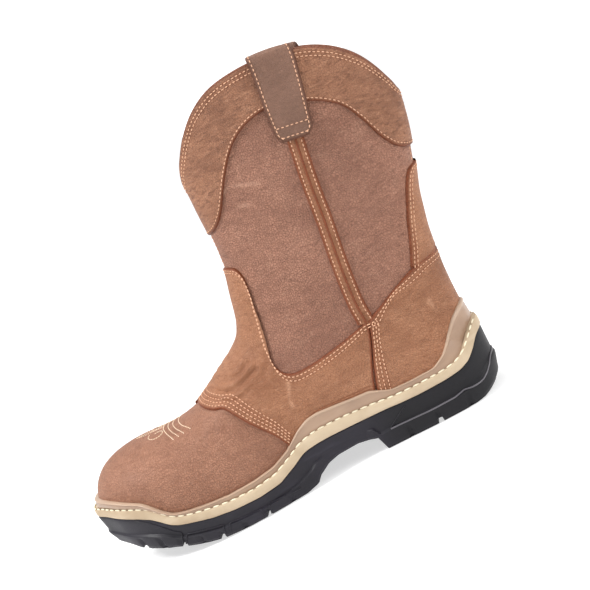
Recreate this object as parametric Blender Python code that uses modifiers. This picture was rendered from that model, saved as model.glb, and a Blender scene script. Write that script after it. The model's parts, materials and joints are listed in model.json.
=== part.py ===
# A left pull-on western work boot, standing on its sole.
# Metres, +Z up. The toe points along -X and the outer (lateral) side faces -Y.
# The origin is on the floor, under the middle of the boot's box.

import math

import bmesh
import bpy
from mathutils import Vector
from mathutils.bvhtree import BVHTree

MM = 0.001

# Driving sizes, in millimetres. Stations run forward from the back of the heel.
LENGTH = 312.0
ORIGIN_STATION = 142.89
HEEL_RADIUS = 35.0
TOE_RADIUS_LATERAL = 38.0
TOE_RADIUS_MEDIAL = 46.0
WALL = 2.2
OVERLAY = 1.5
SEAT = 0.3
INSOLE_THICK = 4.8
INSOLE_EASE = 1.4
RAND_THICK = 2.4
RAND_SEAT = 0.5
FLOOR_DROP = 1.6

# The feather line is where the leather meets the sole, inside the sole's edge.
FEATHER_HEEL = 6.5
FEATHER_TOE = 305.5
FEATHER_INSET = 7.0
LEAN_OUT = 1.8
LEAN_OUT_TOE = 0.9

LATERAL, MEDIAL = -1, 1

# Half widths of the sole's edge on the two sides of the middle line.
OUTLINE_COLUMNS = ("station", "lateral", "medial")
OUTLINE = (
    (20.0, 32.6, 32.6),
    (45.0, 38.6, 38.4),
    (75.0, 39.0, 37.6),
    (105.0, 39.4, 35.4),
    (135.0, 43.4, 36.6),
    (165.0, 50.6, 43.8),
    (195.0, 56.4, 52.2),
    (220.0, 57.8, 56.8),
    (245.0, 55.4, 57.4),
    (270.0, 47.8, 52.0),
    (290.0, 35.4, 40.6),
    (303.0, 21.6, 25.8),
)

# Heights along the sole: under the tread, the top of the black outsole at its
# edge, the top of the pale welt, the top of the rand, and the foot bed.
SOLE_COLUMNS = ("station", "tread", "outsole", "welt", "rand", "bed")
SOLE = (
    (0.0, 2.8, 41.0, 49.0, 66.0, 31.6),
    (2.0, 2.4, 40.8, 48.6, 65.6, 31.6),
    (6.0, 1.7, 39.0, 46.2, 64.0, 31.5),
    (12.0, 0.8, 33.0, 41.0, 61.4, 31.4),
    (18.0, 0.2, 28.4, 36.2, 57.4, 31.3),
    (25.0, 0.0, 26.2, 33.2, 49.5, 31.2),
    (33.0, 0.0, 25.4, 32.0, 41.0, 31.0),
    (42.0, 0.0, 25.0, 31.6, 36.4, 31.0),
    (60.0, 0.0, 24.8, 31.4, 36.2, 30.9),
    (74.0, 0.0, 25.2, 31.8, 36.8, 30.7),
    (81.0, 0.0, 25.8, 32.4, 40.0, 30.5),
    (88.0, 0.0, 26.0, 33.2, 43.2, 30.3),
    (95.0, 0.0, 26.2, 33.8, 43.6, 30.1),
    (98.0, 10.0, 26.3, 34.0, 43.8, 30.0),
    (112.0, 12.6, 26.8, 35.2, 45.4, 29.7),
    (127.0, 12.3, 27.4, 35.8, 47.0, 29.0),
    (135.0, 10.6, 27.4, 35.7, 46.2, 28.2),
    (143.6, 6.6, 26.8, 34.3, 42.4, 26.8),
    (147.4, 2.4, 26.0, 33.2, 40.0, 26.1),
    (157.0, 0.3, 21.4, 28.8, 33.4, 24.0),
    (170.0, 0.0, 16.2, 23.6, 28.2, 21.4),
    (186.0, 0.0, 14.8, 21.8, 26.6, 20.0),
    (205.0, 0.0, 15.6, 22.4, 26.4, 19.6),
    (222.0, 0.8, 17.6, 24.6, 28.0, 20.4),
    (236.0, 3.2, 20.6, 27.0, 29.8, 22.3),
    (246.0, 5.6, 22.8, 29.6, 32.0, 24.4),
    (252.0, 7.2, 25.2, 33.2, 36.4, 25.8),
    (258.0, 9.0, 30.0, 38.4, 42.6, 27.4),
    (264.0, 10.2, 34.2, 42.4, 47.6, 29.0),
    (272.0, 12.2, 37.2, 45.0, 50.6, 31.2),
    (282.0, 14.0, 40.0, 47.4, 54.0, 33.8),
    (291.0, 16.0, 42.4, 49.4, 56.6, 36.2),
    (299.0, 17.8, 44.2, 50.6, 57.8, 37.9),
    (305.5, 19.4, 45.0, 51.2, 58.2, 38.8),
    (310.0, 20.8, 45.5, 51.5, 58.4, 39.2),
    (312.0, 21.4, 45.6, 51.6, 58.5, 39.4),
)

# Steps of the outsole's side, from the tread to the rim: the share of the side's
# height, and the inset from the edge along the sides, the heel, the toe and the arch.
STEP_COLUMNS = ("share", "side", "heel", "toe", "arch")
OUTSOLE_STEPS = (
    (0.00, 2.8, 8.0, 7.4, 5.0),
    (0.12, 1.0, 4.0, 4.6, 3.2),
    (0.44, 0.2, 0.6, 1.6, 2.6),
    (0.51, 1.9, 2.0, 2.4, 2.2),
    (1.00, 0.5, 1.4, 0.5, 1.0),
)
ARCH_PANEL = (99.0, 104.0, 134.0, 143.0)

# Rings of the upper. Each lies in a plane seen edge-on from the side: it runs
# from a base point (on the feather line, then up the back) to a top point (over
# the vamp, then up the front). Half widths are taken midway between the two.
RING_COLUMNS = (
    "top_at", "top_high", "base_at", "base_high",
    "mid_lateral", "mid_medial", "top_full", "base_full",
)
RINGS = (
    (305.5, 39.4, 298.0, 38.0, 15.5, 17.5, 1.0, 1.0),
    (305.4, 48.0, 292.0, 36.6, 21.8, 24.0, 1.1, 1.0),
    (303.8, 57.0, 286.0, 34.9, 26.4, 29.2, 1.2, 1.0),
    (299.6, 66.0, 279.0, 33.0, 32.2, 35.8, 1.3, 1.0),
    (291.5, 73.6, 271.0, 30.9, 38.0, 41.8, 1.4, 1.0),
    (281.0, 78.2, 262.0, 28.5, 43.2, 46.6, 1.5, 1.0),
    (268.0, 80.4, 251.0, 25.6, 47.6, 50.0, 1.5, 1.0),
    (254.0, 80.6, 239.0, 22.9, 50.0, 51.4, 1.5, 1.0),
    (240.5, 79.5, 227.0, 20.9, 51.0, 50.8, 1.45, 1.0),
    (228.0, 79.4, 215.0, 20.0, 50.8, 49.2, 1.4, 1.0),
    (216.0, 81.2, 202.0, 19.6, 49.6, 46.6, 1.3, 1.0),
    (204.1, 84.2, 188.0, 19.9, 47.6, 43.4, 1.2, 1.0),
    (193.1, 89.4, 173.0, 21.2, 45.0, 40.4, 1.15, 1.0),
    (182.1, 95.2, 157.0, 24.0, 42.4, 38.2, 1.1, 1.0),
    (171.6, 101.2, 140.0, 27.3, 40.2, 37.0, 1.05, 1.0),
    (162.1, 107.2, 120.0, 29.4, 38.4, 36.2, 1.05, 1.05),
    (155.3, 113.2, 98.0, 30.0, 37.0, 35.8, 1.05, 1.1),
    (150.7, 121.5, 75.0, 30.7, 36.2, 35.6, 1.05, 1.15),
    (148.1, 129.5, 51.0, 30.9, 35.6, 35.4, 1.1, 1.2),
    (145.9, 137.5, 30.0, 31.1, 35.2, 35.2, 1.1, 1.25),
    (143.9, 145.0, 15.0, 31.4, 35.0, 35.0, 1.1, 1.3),
    (141.9, 152.0, 6.5, 31.6, 34.8, 34.8, 1.1, 1.3),
    (140.1, 159.0, 6.4, 45.0, 34.8, 34.8, 1.1, 1.3),
    (139.1, 166.0, 6.7, 60.0, 34.8, 34.8, 1.1, 1.3),
    (138.0, 174.0, 6.9, 76.0, 34.8, 34.8, 1.1, 1.25),
    (137.2, 183.0, 5.3, 97.0, 34.8, 34.8, 1.1, 1.2),
    (136.3, 192.5, 1.9, 119.0, 34.9, 34.9, 1.1, 1.15),
    (135.9, 202.0, -3.9, 142.0, 35.0, 35.0, 1.1, 1.1),
    (135.6, 212.0, -10.9, 163.0, 35.2, 35.2, 1.1, 1.1),
    (135.4, 223.0, -17.9, 186.0, 35.4, 35.4, 1.1, 1.1),
    (135.2, 238.0, -23.1, 208.0, 35.4, 35.4, 1.1, 1.1),
    (135.0, 254.0, -25.5, 232.0, 35.2, 35.2, 1.1, 1.1),
    (134.8, 271.0, -26.9, 258.0, 34.8, 34.8, 1.1, 1.1),
    (134.6, 290.0, -27.5, 288.0, 34.4, 34.4, 1.1, 1.1),
)
HEEL_RING = 21
SHAFT_RING = 24
FOOT_RING_ROWS = 24
SHAFT_ROWS = 9
AROUND_SIDE = 12

# The collar's edge as seen from the side, from the front dip to the back dip.
EDGE_COLUMNS = ("station", "height")
COLLAR = (
    (137.0, 221.5),
    (134.8, 225.4),
    (132.2, 231.6),
    (127.6, 239.5),
    (116.6, 252.5),
    (102.0, 264.6),
    (84.0, 272.2),
    (62.0, 274.4),
    (40.0, 272.8),
    (22.0, 268.4),
    (8.0, 261.6),
    (-3.0, 253.0),
    (-12.0, 242.0),
    (-18.2, 230.0),
    (-22.4, 217.0),
    (-24.4, 207.0),
)

# Lower edge of the collar's cuff, in the same order.
CUFF_EDGE = (
    (137.8, 185.5),
    (133.0, 186.5),
    (126.0, 190.0),
    (118.6, 197.0),
    (108.4, 211.0),
    (97.2, 225.0),
    (86.6, 234.6),
    (75.0, 240.6),
    (61.0, 243.4),
    (46.0, 241.6),
    (31.0, 235.4),
    (20.0, 228.6),
    (11.0, 220.0),
    (4.6, 206.0),
    (0.2, 192.0),
    (-5.0, 181.5),
    (-11.0, 176.0),
    (-16.8, 174.5),
)

# The saddle covers the instep, with a tongue up the front. Its two edges run
# from the middle line at the front to the seam beside the heel counter.
SADDLE_TOP_EDGE = (
    (140.8, 160.5),
    (135.5, 160.0),
    (130.0, 157.0),
    (128.0, 148.0),
    (131.2, 132.0),
    (136.2, 112.0),
    (138.2, 97.0),
    (136.2, 84.5),
    (129.0, 78.0),
    (116.0, 77.2),
    (102.0, 78.8),
    (90.0, 80.8),
    (77.0, 83.4),
    (66.0, 86.2),
)
SADDLE_FRONT_EDGE = (
    (207.5, 84.6),
    (204.4, 84.4),
    (198.6, 81.6),
    (191.2, 78.6),
    (183.6, 76.6),
    (177.3, 69.8),
    (171.5, 62.2),
    (164.9, 54.0),
    (158.8, 46.0),
    (154.2, 36.8),
)
SADDLE_CORNER = 154.2
COUNTER_SEAM = ((66.0, 86.2), (74.0, 66.0), (84.0, 43.0))

# Upper edge of the heel counter, from its seam to the back.
COUNTER_TOP_EDGE = (
    (66.0, 86.2),
    (54.0, 90.4),
    (40.8, 96.0),
    (28.0, 100.6),
    (16.0, 103.4),
    (4.0, 103.6),
)

# Side edge of the back strip, from the counter to its rounded top.
BACK_STRIP_EDGE = (
    (24.0, 102.5),
    (19.4, 112.0),
    (13.0, 127.0),
    (6.2, 142.0),
    (0.0, 154.0),
    (-5.4, 161.6),
    (-12.0, 164.0),
)

# Each side seam runs under a raised strip, from the pull strap to the saddle.
SIDE_SEAM = ((50.0, 213.0), (54.6, 187.0), (58.4, 160.0), (63.4, 130.0), (66.6, 104.0), (66.9, 89.0))
SEAM_STRIP_HALF = 6.0

# Pull straps: centre line from the lower end to the collar, and half widths.
STRAP_COLUMNS = ("station", "height", "half")
STRAP = (
    (48.4, 217.0, 10.4),
    (47.2, 222.5, 13.0),
    (44.6, 237.0, 14.0),
    (41.2, 254.0, 14.8),
    (38.2, 270.0, 15.4),
)
STRAP_THICK = 2.0
STRAP_RISE = 5.2
STRAP_INSIDE_DROP = 44.0

# Grooves across the tread: station, width along the boot, depth, and half length.
GROOVE_COLUMNS = ("station", "width", "depth", "half")
GROOVES = (
    (30.0, 4.0, 4.0, 27.0),
    (54.0, 4.0, 3.4, 75.0),
    (76.0, 4.0, 4.0, 29.0),
    (168.0, 4.0, 4.0, 42.0),
    (187.0, 4.0, 3.4, 75.0),
    (205.0, 4.0, 4.0, 46.0),
    (223.0, 4.0, 3.4, 75.0),
    (237.0, 4.0, 4.0, 45.0),
    (251.0, 4.0, 3.4, 75.0),
    (266.0, 4.0, 4.0, 38.0),
    (281.5, 4.0, 3.2, 75.0),
)
# Lengthwise channels of the tread: first station, last station, width, depth.
CHANNELS = ((16.0, 96.5, 7.0, 3.6), (152.0, 221.0, 7.0, 3.2))

COLOURS = {
    "leather": (0.40, 0.20, 0.115, 1.0),
    "pebbled leather": (0.34, 0.17, 0.105, 1.0),
    "strap leather": (0.26, 0.14, 0.09, 1.0),
    "outsole rubber": (0.028, 0.027, 0.032, 1.0),
    "welt rubber": (0.62, 0.50, 0.34, 1.0),
    "rand rubber": (0.42, 0.33, 0.26, 1.0),
    "footbed": (0.05, 0.05, 0.055, 1.0),
}
ROUGHNESS = {
    "leather": 0.62,
    "pebbled leather": 0.66,
    "strap leather": 0.7,
    "outsole rubber": 0.5,
    "welt rubber": 0.55,
    "rand rubber": 0.38,
    "footbed": 0.9,
}


# Tables and curves

def column(table, names, name):
    index = names.index(name)
    return [row[index] for row in table]


def smooth(values, t):
    """Catmull-Rom value at row number t of a column."""
    last = len(values) - 1
    i = max(0, min(int(t), last - 1))
    f = t - i
    p1, p2 = values[i], values[i + 1]
    p0 = values[i - 1] if i > 0 else 2 * p1 - p2
    p3 = values[i + 2] if i + 2 <= last else 2 * p2 - p1
    return 0.5 * (
        2 * p1
        + (p2 - p0) * f
        + (2 * p0 - 5 * p1 + 4 * p2 - p3) * f * f
        + (3 * p1 - p0 - 3 * p2 + p3) * f ** 3
    )


def straight(xs, ys, x):
    """Straight-line value at x, with the ends held."""
    if x <= xs[0]:
        return ys[0]
    for i in range(len(xs) - 1):
        if x <= xs[i + 1]:
            f = (x - xs[i]) / (xs[i + 1] - xs[i])
            return ys[i] + (ys[i + 1] - ys[i]) * f
    return ys[-1]


def sole_line(name, station):
    return straight(
        column(SOLE, SOLE_COLUMNS, "station"), column(SOLE, SOLE_COLUMNS, name), station
    )


def along(points, share):
    """Point at a share of a line of (station, height) points, measured by length."""
    steps = [math.dist(points[i], points[i + 1]) for i in range(len(points) - 1)]
    target = share * sum(steps)
    for i, step in enumerate(steps):
        if target <= step or i == len(steps) - 1:
            f = target / step
            a, b = points[i], points[i + 1]
            return (a[0] + (b[0] - a[0]) * f, a[1] + (b[1] - a[1]) * f)
        target -= step


def place(station, across, height):
    """Metres in the boot's frame, from a station, a signed width and a height."""
    return Vector(((ORIGIN_STATION - station) * MM, across * MM, height * MM))


# The sole's edge

def rounding(station):
    """Sine of the angle that stands for a station on a circle of the boot's length."""
    share = max(-1.0, min(1.0, 1 - 2 * station / LENGTH))
    return math.sqrt(max(0.0, 1 - share * share))


def half_width(station, side):
    """Half width of the sole's edge: its ratio to the rounding is what is smooth."""
    name = "lateral" if side == LATERAL else "medial"
    toe_radius = TOE_RADIUS_LATERAL if side == LATERAL else TOE_RADIUS_MEDIAL
    stations = [0.0] + column(OUTLINE, OUTLINE_COLUMNS, "station") + [LENGTH]
    ratios = [math.sqrt(HEEL_RADIUS * LENGTH / 2)]
    for at, width in zip(stations[1:-1], column(OUTLINE, OUTLINE_COLUMNS, name)):
        ratios.append(width / rounding(at))
    ratios.append(math.sqrt(toe_radius * LENGTH / 2))
    inside = max(0.0, min(LENGTH, station))
    row = straight(stations, list(range(len(stations))), inside)
    return smooth(ratios, row) * rounding(inside)


def feather_half(station, side):
    """Half width of the leather where it meets the sole."""
    share = (station - FEATHER_HEEL) / (FEATHER_TOE - FEATHER_HEEL)
    at = max(0.0, min(1.0, share)) * LENGTH
    return half_width(at, side) - FEATHER_INSET * rounding(at)


def edge_loop(inset_of):
    """Points (station, width) round the sole, one for each row of SOLE on both sides,
    moved inwards by inset_of(station). Heel and toe tips are single points."""
    stations = column(SOLE, SOLE_COLUMNS, "station")
    lateral = [(s, -half_width(s, LATERAL)) for s in stations]
    medial = [(s, half_width(s, MEDIAL)) for s in stations[1:-1]]
    loop = lateral + medial[::-1]
    moved = []
    count = len(loop)
    for i, (s, y) in enumerate(loop):
        before, after = loop[i - 1], loop[(i + 1) % count]
        run = Vector((after[0] - before[0], after[1] - before[1])).normalized()
        inwards = Vector((-run.y, run.x))
        inset = inset_of(s)
        moved.append((s + inwards.x * inset, y + inwards.y * inset))
    return moved


def loop_heights(height_of):
    """Heights for the points of an edge loop, taken at the rows' own stations."""
    stations = column(SOLE, SOLE_COLUMNS, "station")
    rows = [height_of(s) for s in stations]
    return rows + rows[1:-1][::-1]


def end_share(station, first, last):
    """0 before first and 1 after last, softly between."""
    f = max(0.0, min(1.0, (station - first) / (last - first)))
    return f * f * (3 - 2 * f)


# The upper's own function

def ring_value(name, row):
    return smooth(column(RINGS, RING_COLUMNS, name), row)


def ring_ends(row):
    base = (ring_value("base_at", row), ring_value("base_high", row))
    top = (ring_value("top_at", row), ring_value("top_high", row))
    if row <= HEEL_RING:
        base = (base[0], sole_line("bed", base[0]))
    return base, top


def ring_half(row, share, side):
    """Half width at a share of the way from a ring's base to its top."""
    name = "mid_lateral" if side == LATERAL else "mid_medial"
    mid = ring_value(name, row)
    top_full, base_full = ring_value("top_full", row), ring_value("base_full", row)
    base_at, base_high = ring_ends(row)[0]
    base = feather_half(base_at, side) if row < HEEL_RING else 0.0

    def fall(q):
        return 1 - q ** top_full

    def rise(q):
        return 1 - (1 - q) ** base_full

    swell = (mid * mid - fall(0.5) * base * base) / (fall(0.5) * rise(0.5))
    half = math.sqrt(max(0.0, fall(share) * (base * base + swell * rise(share))))
    if row >= HEEL_RING:
        return half
    top_at, top_high = ring_ends(row)[1]
    station = base_at + (top_at - base_at) * share
    height = base_high + (top_high - base_high) * share
    over_welt = max(0.0, height - sole_line("welt", station) - 0.5)
    lean = LEAN_OUT + (LEAN_OUT_TOE - LEAN_OUT) * end_share(station, 250.0, 290.0)
    return min(half, feather_half(station, side) + lean + over_welt)


def skin_point(row, turn):
    """Millimetre point (station, width, height) of the leather's outer face. Turn is 0
    on the front's middle line, -1 at the base on the lateral side, 1 on the medial."""
    side = LATERAL if turn < 0 else MEDIAL
    share = (1 + math.cos(math.pi * min(1.0, abs(turn)))) / 2
    (base_at, base_high), (top_at, top_high) = ring_ends(row)
    return Vector((
        base_at + (top_at - base_at) * share,
        side * ring_half(row, share, side),
        base_high + (top_high - base_high) * share,
    ))


def beside(row, turn):
    """Outer point just past a turn: closed round the shaft, open along the foot."""
    if row >= HEEL_RING and abs(turn) > 1:
        turn -= 2 * math.copysign(1, turn)
    return skin_point(row, max(-1.0, min(1.0, turn)))


def skin(row, turn, offset=0.0):
    """Point of the outer face in metres, moved outwards by an offset in millimetres."""
    here = skin_point(row, turn)
    step = 0.02
    last = len(RINGS) - 1.0
    across = beside(row, turn + step) - beside(row, turn - step)
    upwards = skin_point(min(row + step, last), turn) - skin_point(max(row - step, 0.0), turn)
    normal = across.cross(upwards)
    if offset and normal.length > 1e-9:
        here = here + normal.normalized() * offset
    return place(here.x, here.y, here.z)


def locate(station, height):
    """(row, turn) on the lateral side of a point seen from the side."""
    def over(row):
        (bx, bz), (tx, tz) = ring_ends(row)
        return (tx - bx) * (height - bz) - (tz - bz) * (station - bx)

    low, high = 0.0, len(RINGS) - 1.0
    for _ in range(40):
        middle = (low + high) / 2
        if over(middle) > 0:
            low = middle
        else:
            high = middle
    (bx, bz), (tx, tz) = ring_ends(low)
    run = (tx - bx) ** 2 + (tz - bz) ** 2
    share = ((station - bx) * (tx - bx) + (height - bz) * (tz - bz)) / run
    share = max(0.0, min(1.0, share))
    return low, math.acos(2 * share - 1) / math.pi


# Making objects

def material(name):
    made = bpy.data.materials.new(name)
    made.use_nodes = True
    shader = made.node_tree.nodes["Principled BSDF"]
    shader.inputs["Base Color"].default_value = COLOURS[name]
    shader.inputs["Roughness"].default_value = ROUGHNESS[name]
    shader.inputs["Metallic"].default_value = 0.0
    made.diffuse_color = COLOURS[name]
    return made


def mesh_object(name, points, faces, collection, finish=None):
    mesh = bpy.data.meshes.new(name)
    mesh.from_pydata([tuple(p) for p in points], [], faces)
    mesh.update()
    made = bpy.data.objects.new(name, mesh)
    collection.objects.link(made)
    if finish:
        mesh.materials.append(finish)
        mesh.shade_smooth()
        mesh.set_sharp_from_angle(angle=math.radians(40))
    return made


def tidy(made, distance=0.00002):
    """Joins points that coincide and turns every face outwards."""
    bm = bmesh.new()
    bm.from_mesh(made.data)
    bmesh.ops.remove_doubles(bm, verts=bm.verts, dist=distance)
    bmesh.ops.recalc_face_normals(bm, faces=bm.faces)
    bm.to_mesh(made.data)
    bm.free()


def grid_faces(rows, columns, first=0, wrap=False):
    """Quads of a grid whose points are stored row by row."""
    faces = []
    for i in range(rows - 1):
        for j in range(columns if wrap else columns - 1):
            k = (j + 1) % columns
            a, b = first + i * columns, first + (i + 1) * columns
            faces.append((a + j, a + k, b + k, b + j))
    return faces


def loop_cap(count, first, flip):
    """Quads across an edge loop, joining each lateral point to its medial twin."""
    half = count // 2
    faces = []
    for i in range(half):
        a, b = i, i + 1
        c, d = (count - b) % count, (count - a) % count
        quad = [a, b, c, d]
        face = []
        for k in quad:
            if k not in face:
                face.append(k)
        face = [first + k for k in face]
        faces.append(tuple(face[::-1]) if flip else tuple(face))
    return faces


def stacked_loops(name, loops, capped, collection, finish):
    """A solid from rings of points of one count, capped at both ends or closed round."""
    count = len(loops[0])
    points = [p for loop in loops for p in loop]
    faces = grid_faces(len(loops), count, wrap=True)
    if capped:
        faces += loop_cap(count, 0, True)
        faces += loop_cap(count, (len(loops) - 1) * count, False)
    else:
        last = (len(loops) - 1) * count
        faces += [
            (last + j, last + (j + 1) % count, (j + 1) % count, j) for j in range(count)
        ]
    made = mesh_object(name, points, faces, collection, finish)
    tidy(made)
    return made


def add_solidify(made, thick, offset):
    """Thickness for an open surface whose faces point outwards."""
    shell = made.modifiers.new("thickness", "SOLIDIFY")
    shell.thickness = thick * MM
    shell.offset = offset
    shell.use_even_offset = True
    shell.use_rim = True
    return made


def box_cutter(name, low, high, tilt, collection):
    """A box between two corners (station, width, height), tilted about its middle."""
    bpy.ops.mesh.primitive_cube_add(size=1.0)
    box = bpy.context.object
    box.name = name
    a, b = place(*low), place(*high)
    box.dimensions = (abs(a.x - b.x), abs(a.y - b.y), abs(a.z - b.z))
    box.location = (a + b) / 2
    box.rotation_euler = (0.0, tilt, 0.0)
    bpy.ops.object.transform_apply(location=False, rotation=False, scale=True)
    for old in list(box.users_collection):
        old.objects.unlink(box)
    collection.objects.link(box)
    box.hide_render = True
    box.display_type = "WIRE"
    return box


def cut(made, cutter):
    knife = made.modifiers.new("cut " + cutter.name, "BOOLEAN")
    knife.operation = "DIFFERENCE"
    knife.solver = "EXACT"
    knife.object = cutter


# The pieces

def cup_height(station):
    """Floor of the outsole's cup, under the midsole."""
    return min(sole_line("outsole", station) - 0.6, sole_line("bed", station) - 5.0)


def step_inset(row):
    side, heel, toe, arch = row[1:]
    rear, rear_full, fore_full, fore = ARCH_PANEL

    def inset(station):
        toward_toe = end_share(station, 262.0, LENGTH)
        toward_heel = 1 - end_share(station, 0.0, 26.0)
        at_arch = end_share(station, rear, rear_full) - end_share(station, fore_full, fore)
        return (
            side + (toe - side) * toward_toe
            + (heel - side) * toward_heel
            + (arch - side) * at_arch
        )

    return inset


def make_outsole(collection, cutters, finish):
    loops = []
    for row in OUTSOLE_STEPS:
        def height(station, share=row[0]):
            low, high = sole_line("tread", station), sole_line("outsole", station)
            return low + (high - low) * share

        flat = edge_loop(step_inset(row))
        loops.append([place(s, y, z) for (s, y), z in zip(flat, loop_heights(height))])
    for inset, line in ((2.8, lambda s: sole_line("outsole", s)), (3.2, cup_height)):
        flat = edge_loop(lambda s, inset=inset: inset)
        loops.append([place(s, y, z) for (s, y), z in zip(flat, loop_heights(line))])
    made = stacked_loops("outsole", loops, True, collection, finish)
    for number, (station, width, depth, half) in enumerate(GROOVES):
        low = sole_line("tread", station)
        rise = sole_line("tread", station + 4) - sole_line("tread", station - 4)
        tilt = math.atan2(rise, 8.0)
        cutter = box_cutter(
            "groove %d" % number,
            (station - width / 2, -half, low - depth),
            (station + width / 2, half, low + depth),
            tilt,
            cutters,
        )
        cut(made, cutter)
    for number, (first, last, width, depth) in enumerate(CHANNELS):
        cutter = box_cutter(
            "channel %d" % number,
            (first, -width / 2, -depth),
            (last, width / 2, depth),
            0.0,
            cutters,
        )
        cut(made, cutter)
    return made


def make_room(cutters):
    """The leather with its seat all round, to be cut from what meets it."""
    room = leather("room for leather", SEAT, WALL + 2 * SEAT, -1.0, cutters, None)
    room.hide_render = True
    room.display_type = "WIRE"
    return room


def make_midsole(collection, finish):
    """The pale midsole: its edge is the welt, and it fills the outsole's cup."""
    def outsole_top(station):
        return sole_line("outsole", station) + SEAT

    def welt_top(station):
        return sole_line("welt", station)

    rows = (
        (3.6, lambda s: cup_height(s) + SEAT),
        (3.6, outsole_top),
        (0.9, outsole_top),
        (0.5, lambda s: outsole_top(s) + 1.0),
        (0.7, lambda s: welt_top(s) - 1.4),
        (1.8, welt_top),
        (3.9, welt_top),
        (4.4, lambda s: sole_line("bed", s) - FLOOR_DROP),
    )
    loops = []
    for inset, line in rows:
        flat = edge_loop(lambda s, inset=inset: inset)
        loops.append([place(s, y, z) for (s, y), z in zip(flat, loop_heights(line))])
    return stacked_loops("midsole", loops, True, collection, finish)


def skin_tree(upper):
    """A search tree of the leather's outer face, for pieces that hug it."""
    points = [v.co.copy() for v in upper.data.vertices]
    return BVHTree.FromPolygons(points, [tuple(f.vertices) for f in upper.data.polygons])


def hug(tree, flat, index, height, offset):
    """Point beside the leather at a height, reached from the sole's edge going inwards."""
    before, after = flat[index - 1], flat[(index + 1) % len(flat)]
    run = Vector((after[0] - before[0], after[1] - before[1], 0.0)).normalized()
    inwards = Vector((run.y, run.x, 0.0))
    start = place(flat[index][0], flat[index][1] + 0.02, height)
    hit, normal, _, _ = tree.ray_cast(start - inwards * 0.01, inwards, 0.06)
    level = Vector((normal.x, normal.y, 0.0))
    if level.dot(inwards) > 0:
        level = -level
    return hit + level.normalized() * offset * MM


def make_rand(tree, collection, finish):
    """The band that hugs the leather above the welt, high at toe, arch and heel."""
    def band(share):
        def height(station):
            low = sole_line("welt", station) + SEAT
            return low + (sole_line("rand", station) - low) * share
        return height

    def settle(index, height_of):
        """The height that belongs to the station where the band touches the leather."""
        station = flat[index][0]
        for _ in range(4):
            found = hug(tree, flat, index, height_of(station), 0.0)
            station = ORIGIN_STATION - found.x / MM
        return height_of(station)

    flat = edge_loop(lambda s: 0.0)
    foot = edge_loop(lambda s: 2.0)
    loops = [[], [], [], [], [], []]
    for i in range(len(flat)):
        low, mid, high = [settle(i, band(share)) for share in (0.0, 0.5, 1.0)]
        low = loop_heights(band(0.0))[i]
        loops[0].append(hug(tree, flat, i, low, RAND_SEAT))
        loops[1].append(place(foot[i][0], foot[i][1], low))
        loops[2].append(hug(tree, flat, i, mid, SEAT + RAND_THICK + 0.8))
        loops[3].append(hug(tree, flat, i, high - 0.8, SEAT + RAND_THICK))
        loops[4].append(hug(tree, flat, i, high, RAND_SEAT))
        loops[5].append(hug(tree, flat, i, mid, RAND_SEAT))
    return stacked_loops("rand", loops, False, collection, finish)


def make_insole(tree, collection, finish):
    flat = edge_loop(lambda s: 0.0)
    line = loop_heights(lambda s: sole_line("bed", s))
    loops = []
    for lift in (SEAT - FLOOR_DROP, SEAT - FLOOR_DROP + INSOLE_THICK):
        loop = []
        for i, height in enumerate(line):
            point = hug(tree, flat, i, height + max(lift, 2 * SEAT), -(WALL + INSOLE_EASE))
            point.z = (height + lift) * MM
            loop.append(point)
        loops.append(loop)
    return stacked_loops("insole", loops, True, collection, finish)


def collar_row(turn):
    """Row where the line of one turn reaches the collar's edge."""
    stations = [p[0] for p in COLLAR][::-1]
    heights = [p[1] for p in COLLAR][::-1]
    low, high = float(SHAFT_RING), len(RINGS) - 1.0
    for _ in range(36):
        middle = (low + high) / 2
        point = skin_point(middle, turn)
        if point.z < straight(stations, heights, point.x):
            low = middle
        else:
            high = middle
    return low


def leather(name, offset, thick, grow, collection, finish):
    """A sheet of the upper's own function from the feather line to the collar."""
    columns = 2 * AROUND_SIDE + 1
    turns = [-1 + 2 * j / (columns - 1) for j in range(columns)]
    points = []
    for i in range(FOOT_RING_ROWS):
        row = SHAFT_RING * i / FOOT_RING_ROWS
        points += [skin(row, t, offset) for t in turns]
    tops = [collar_row(-abs(t)) for t in turns]
    for i in range(SHAFT_ROWS + 1):
        share = i / SHAFT_ROWS
        for t, top in zip(turns, tops):
            points.append(skin(SHAFT_RING + (top - SHAFT_RING) * share, t, offset))
    rows = FOOT_RING_ROWS + SHAFT_ROWS + 1
    faces = []
    for number, (a, b, c, d) in enumerate(grid_faces(rows, columns)):
        if number % (columns - 1) < AROUND_SIDE:
            faces += [(a, b, c), (a, c, d)]
        else:
            faces += [(a, b, d), (b, c, d)]
    made = mesh_object(name, points, faces, collection, finish)
    tidy(made)
    add_solidify(made, thick, grow)
    return made


def side_cutter(name, outline, low, high, collection):
    """A prism along Y whose outline is drawn in the side view."""
    count = len(outline)
    points = [place(s, low, z) for s, z in outline] + [place(s, high, z) for s, z in outline]
    faces = [tuple(range(count)), tuple(range(2 * count - 1, count - 1, -1))]
    faces += [(i, (i + 1) % count, count + (i + 1) % count, count + i) for i in range(count)]
    made = mesh_object(name, points, faces, collection)
    tidy(made)
    made.hide_render = True
    made.display_type = "WIRE"
    return made


def overlay(name, outline, low, high, boot, cutters, finish):
    """A piece of leather over the upper, cut out of its function by a side outline."""
    made = leather(name, SEAT, OVERLAY, 1.0, boot, finish)
    knife = made.modifiers.new("outline", "BOOLEAN")
    knife.operation = "INTERSECT"
    knife.solver = "EXACT"
    knife.object = side_cutter(name + " outline", outline, low, high, cutters)
    return made


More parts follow.
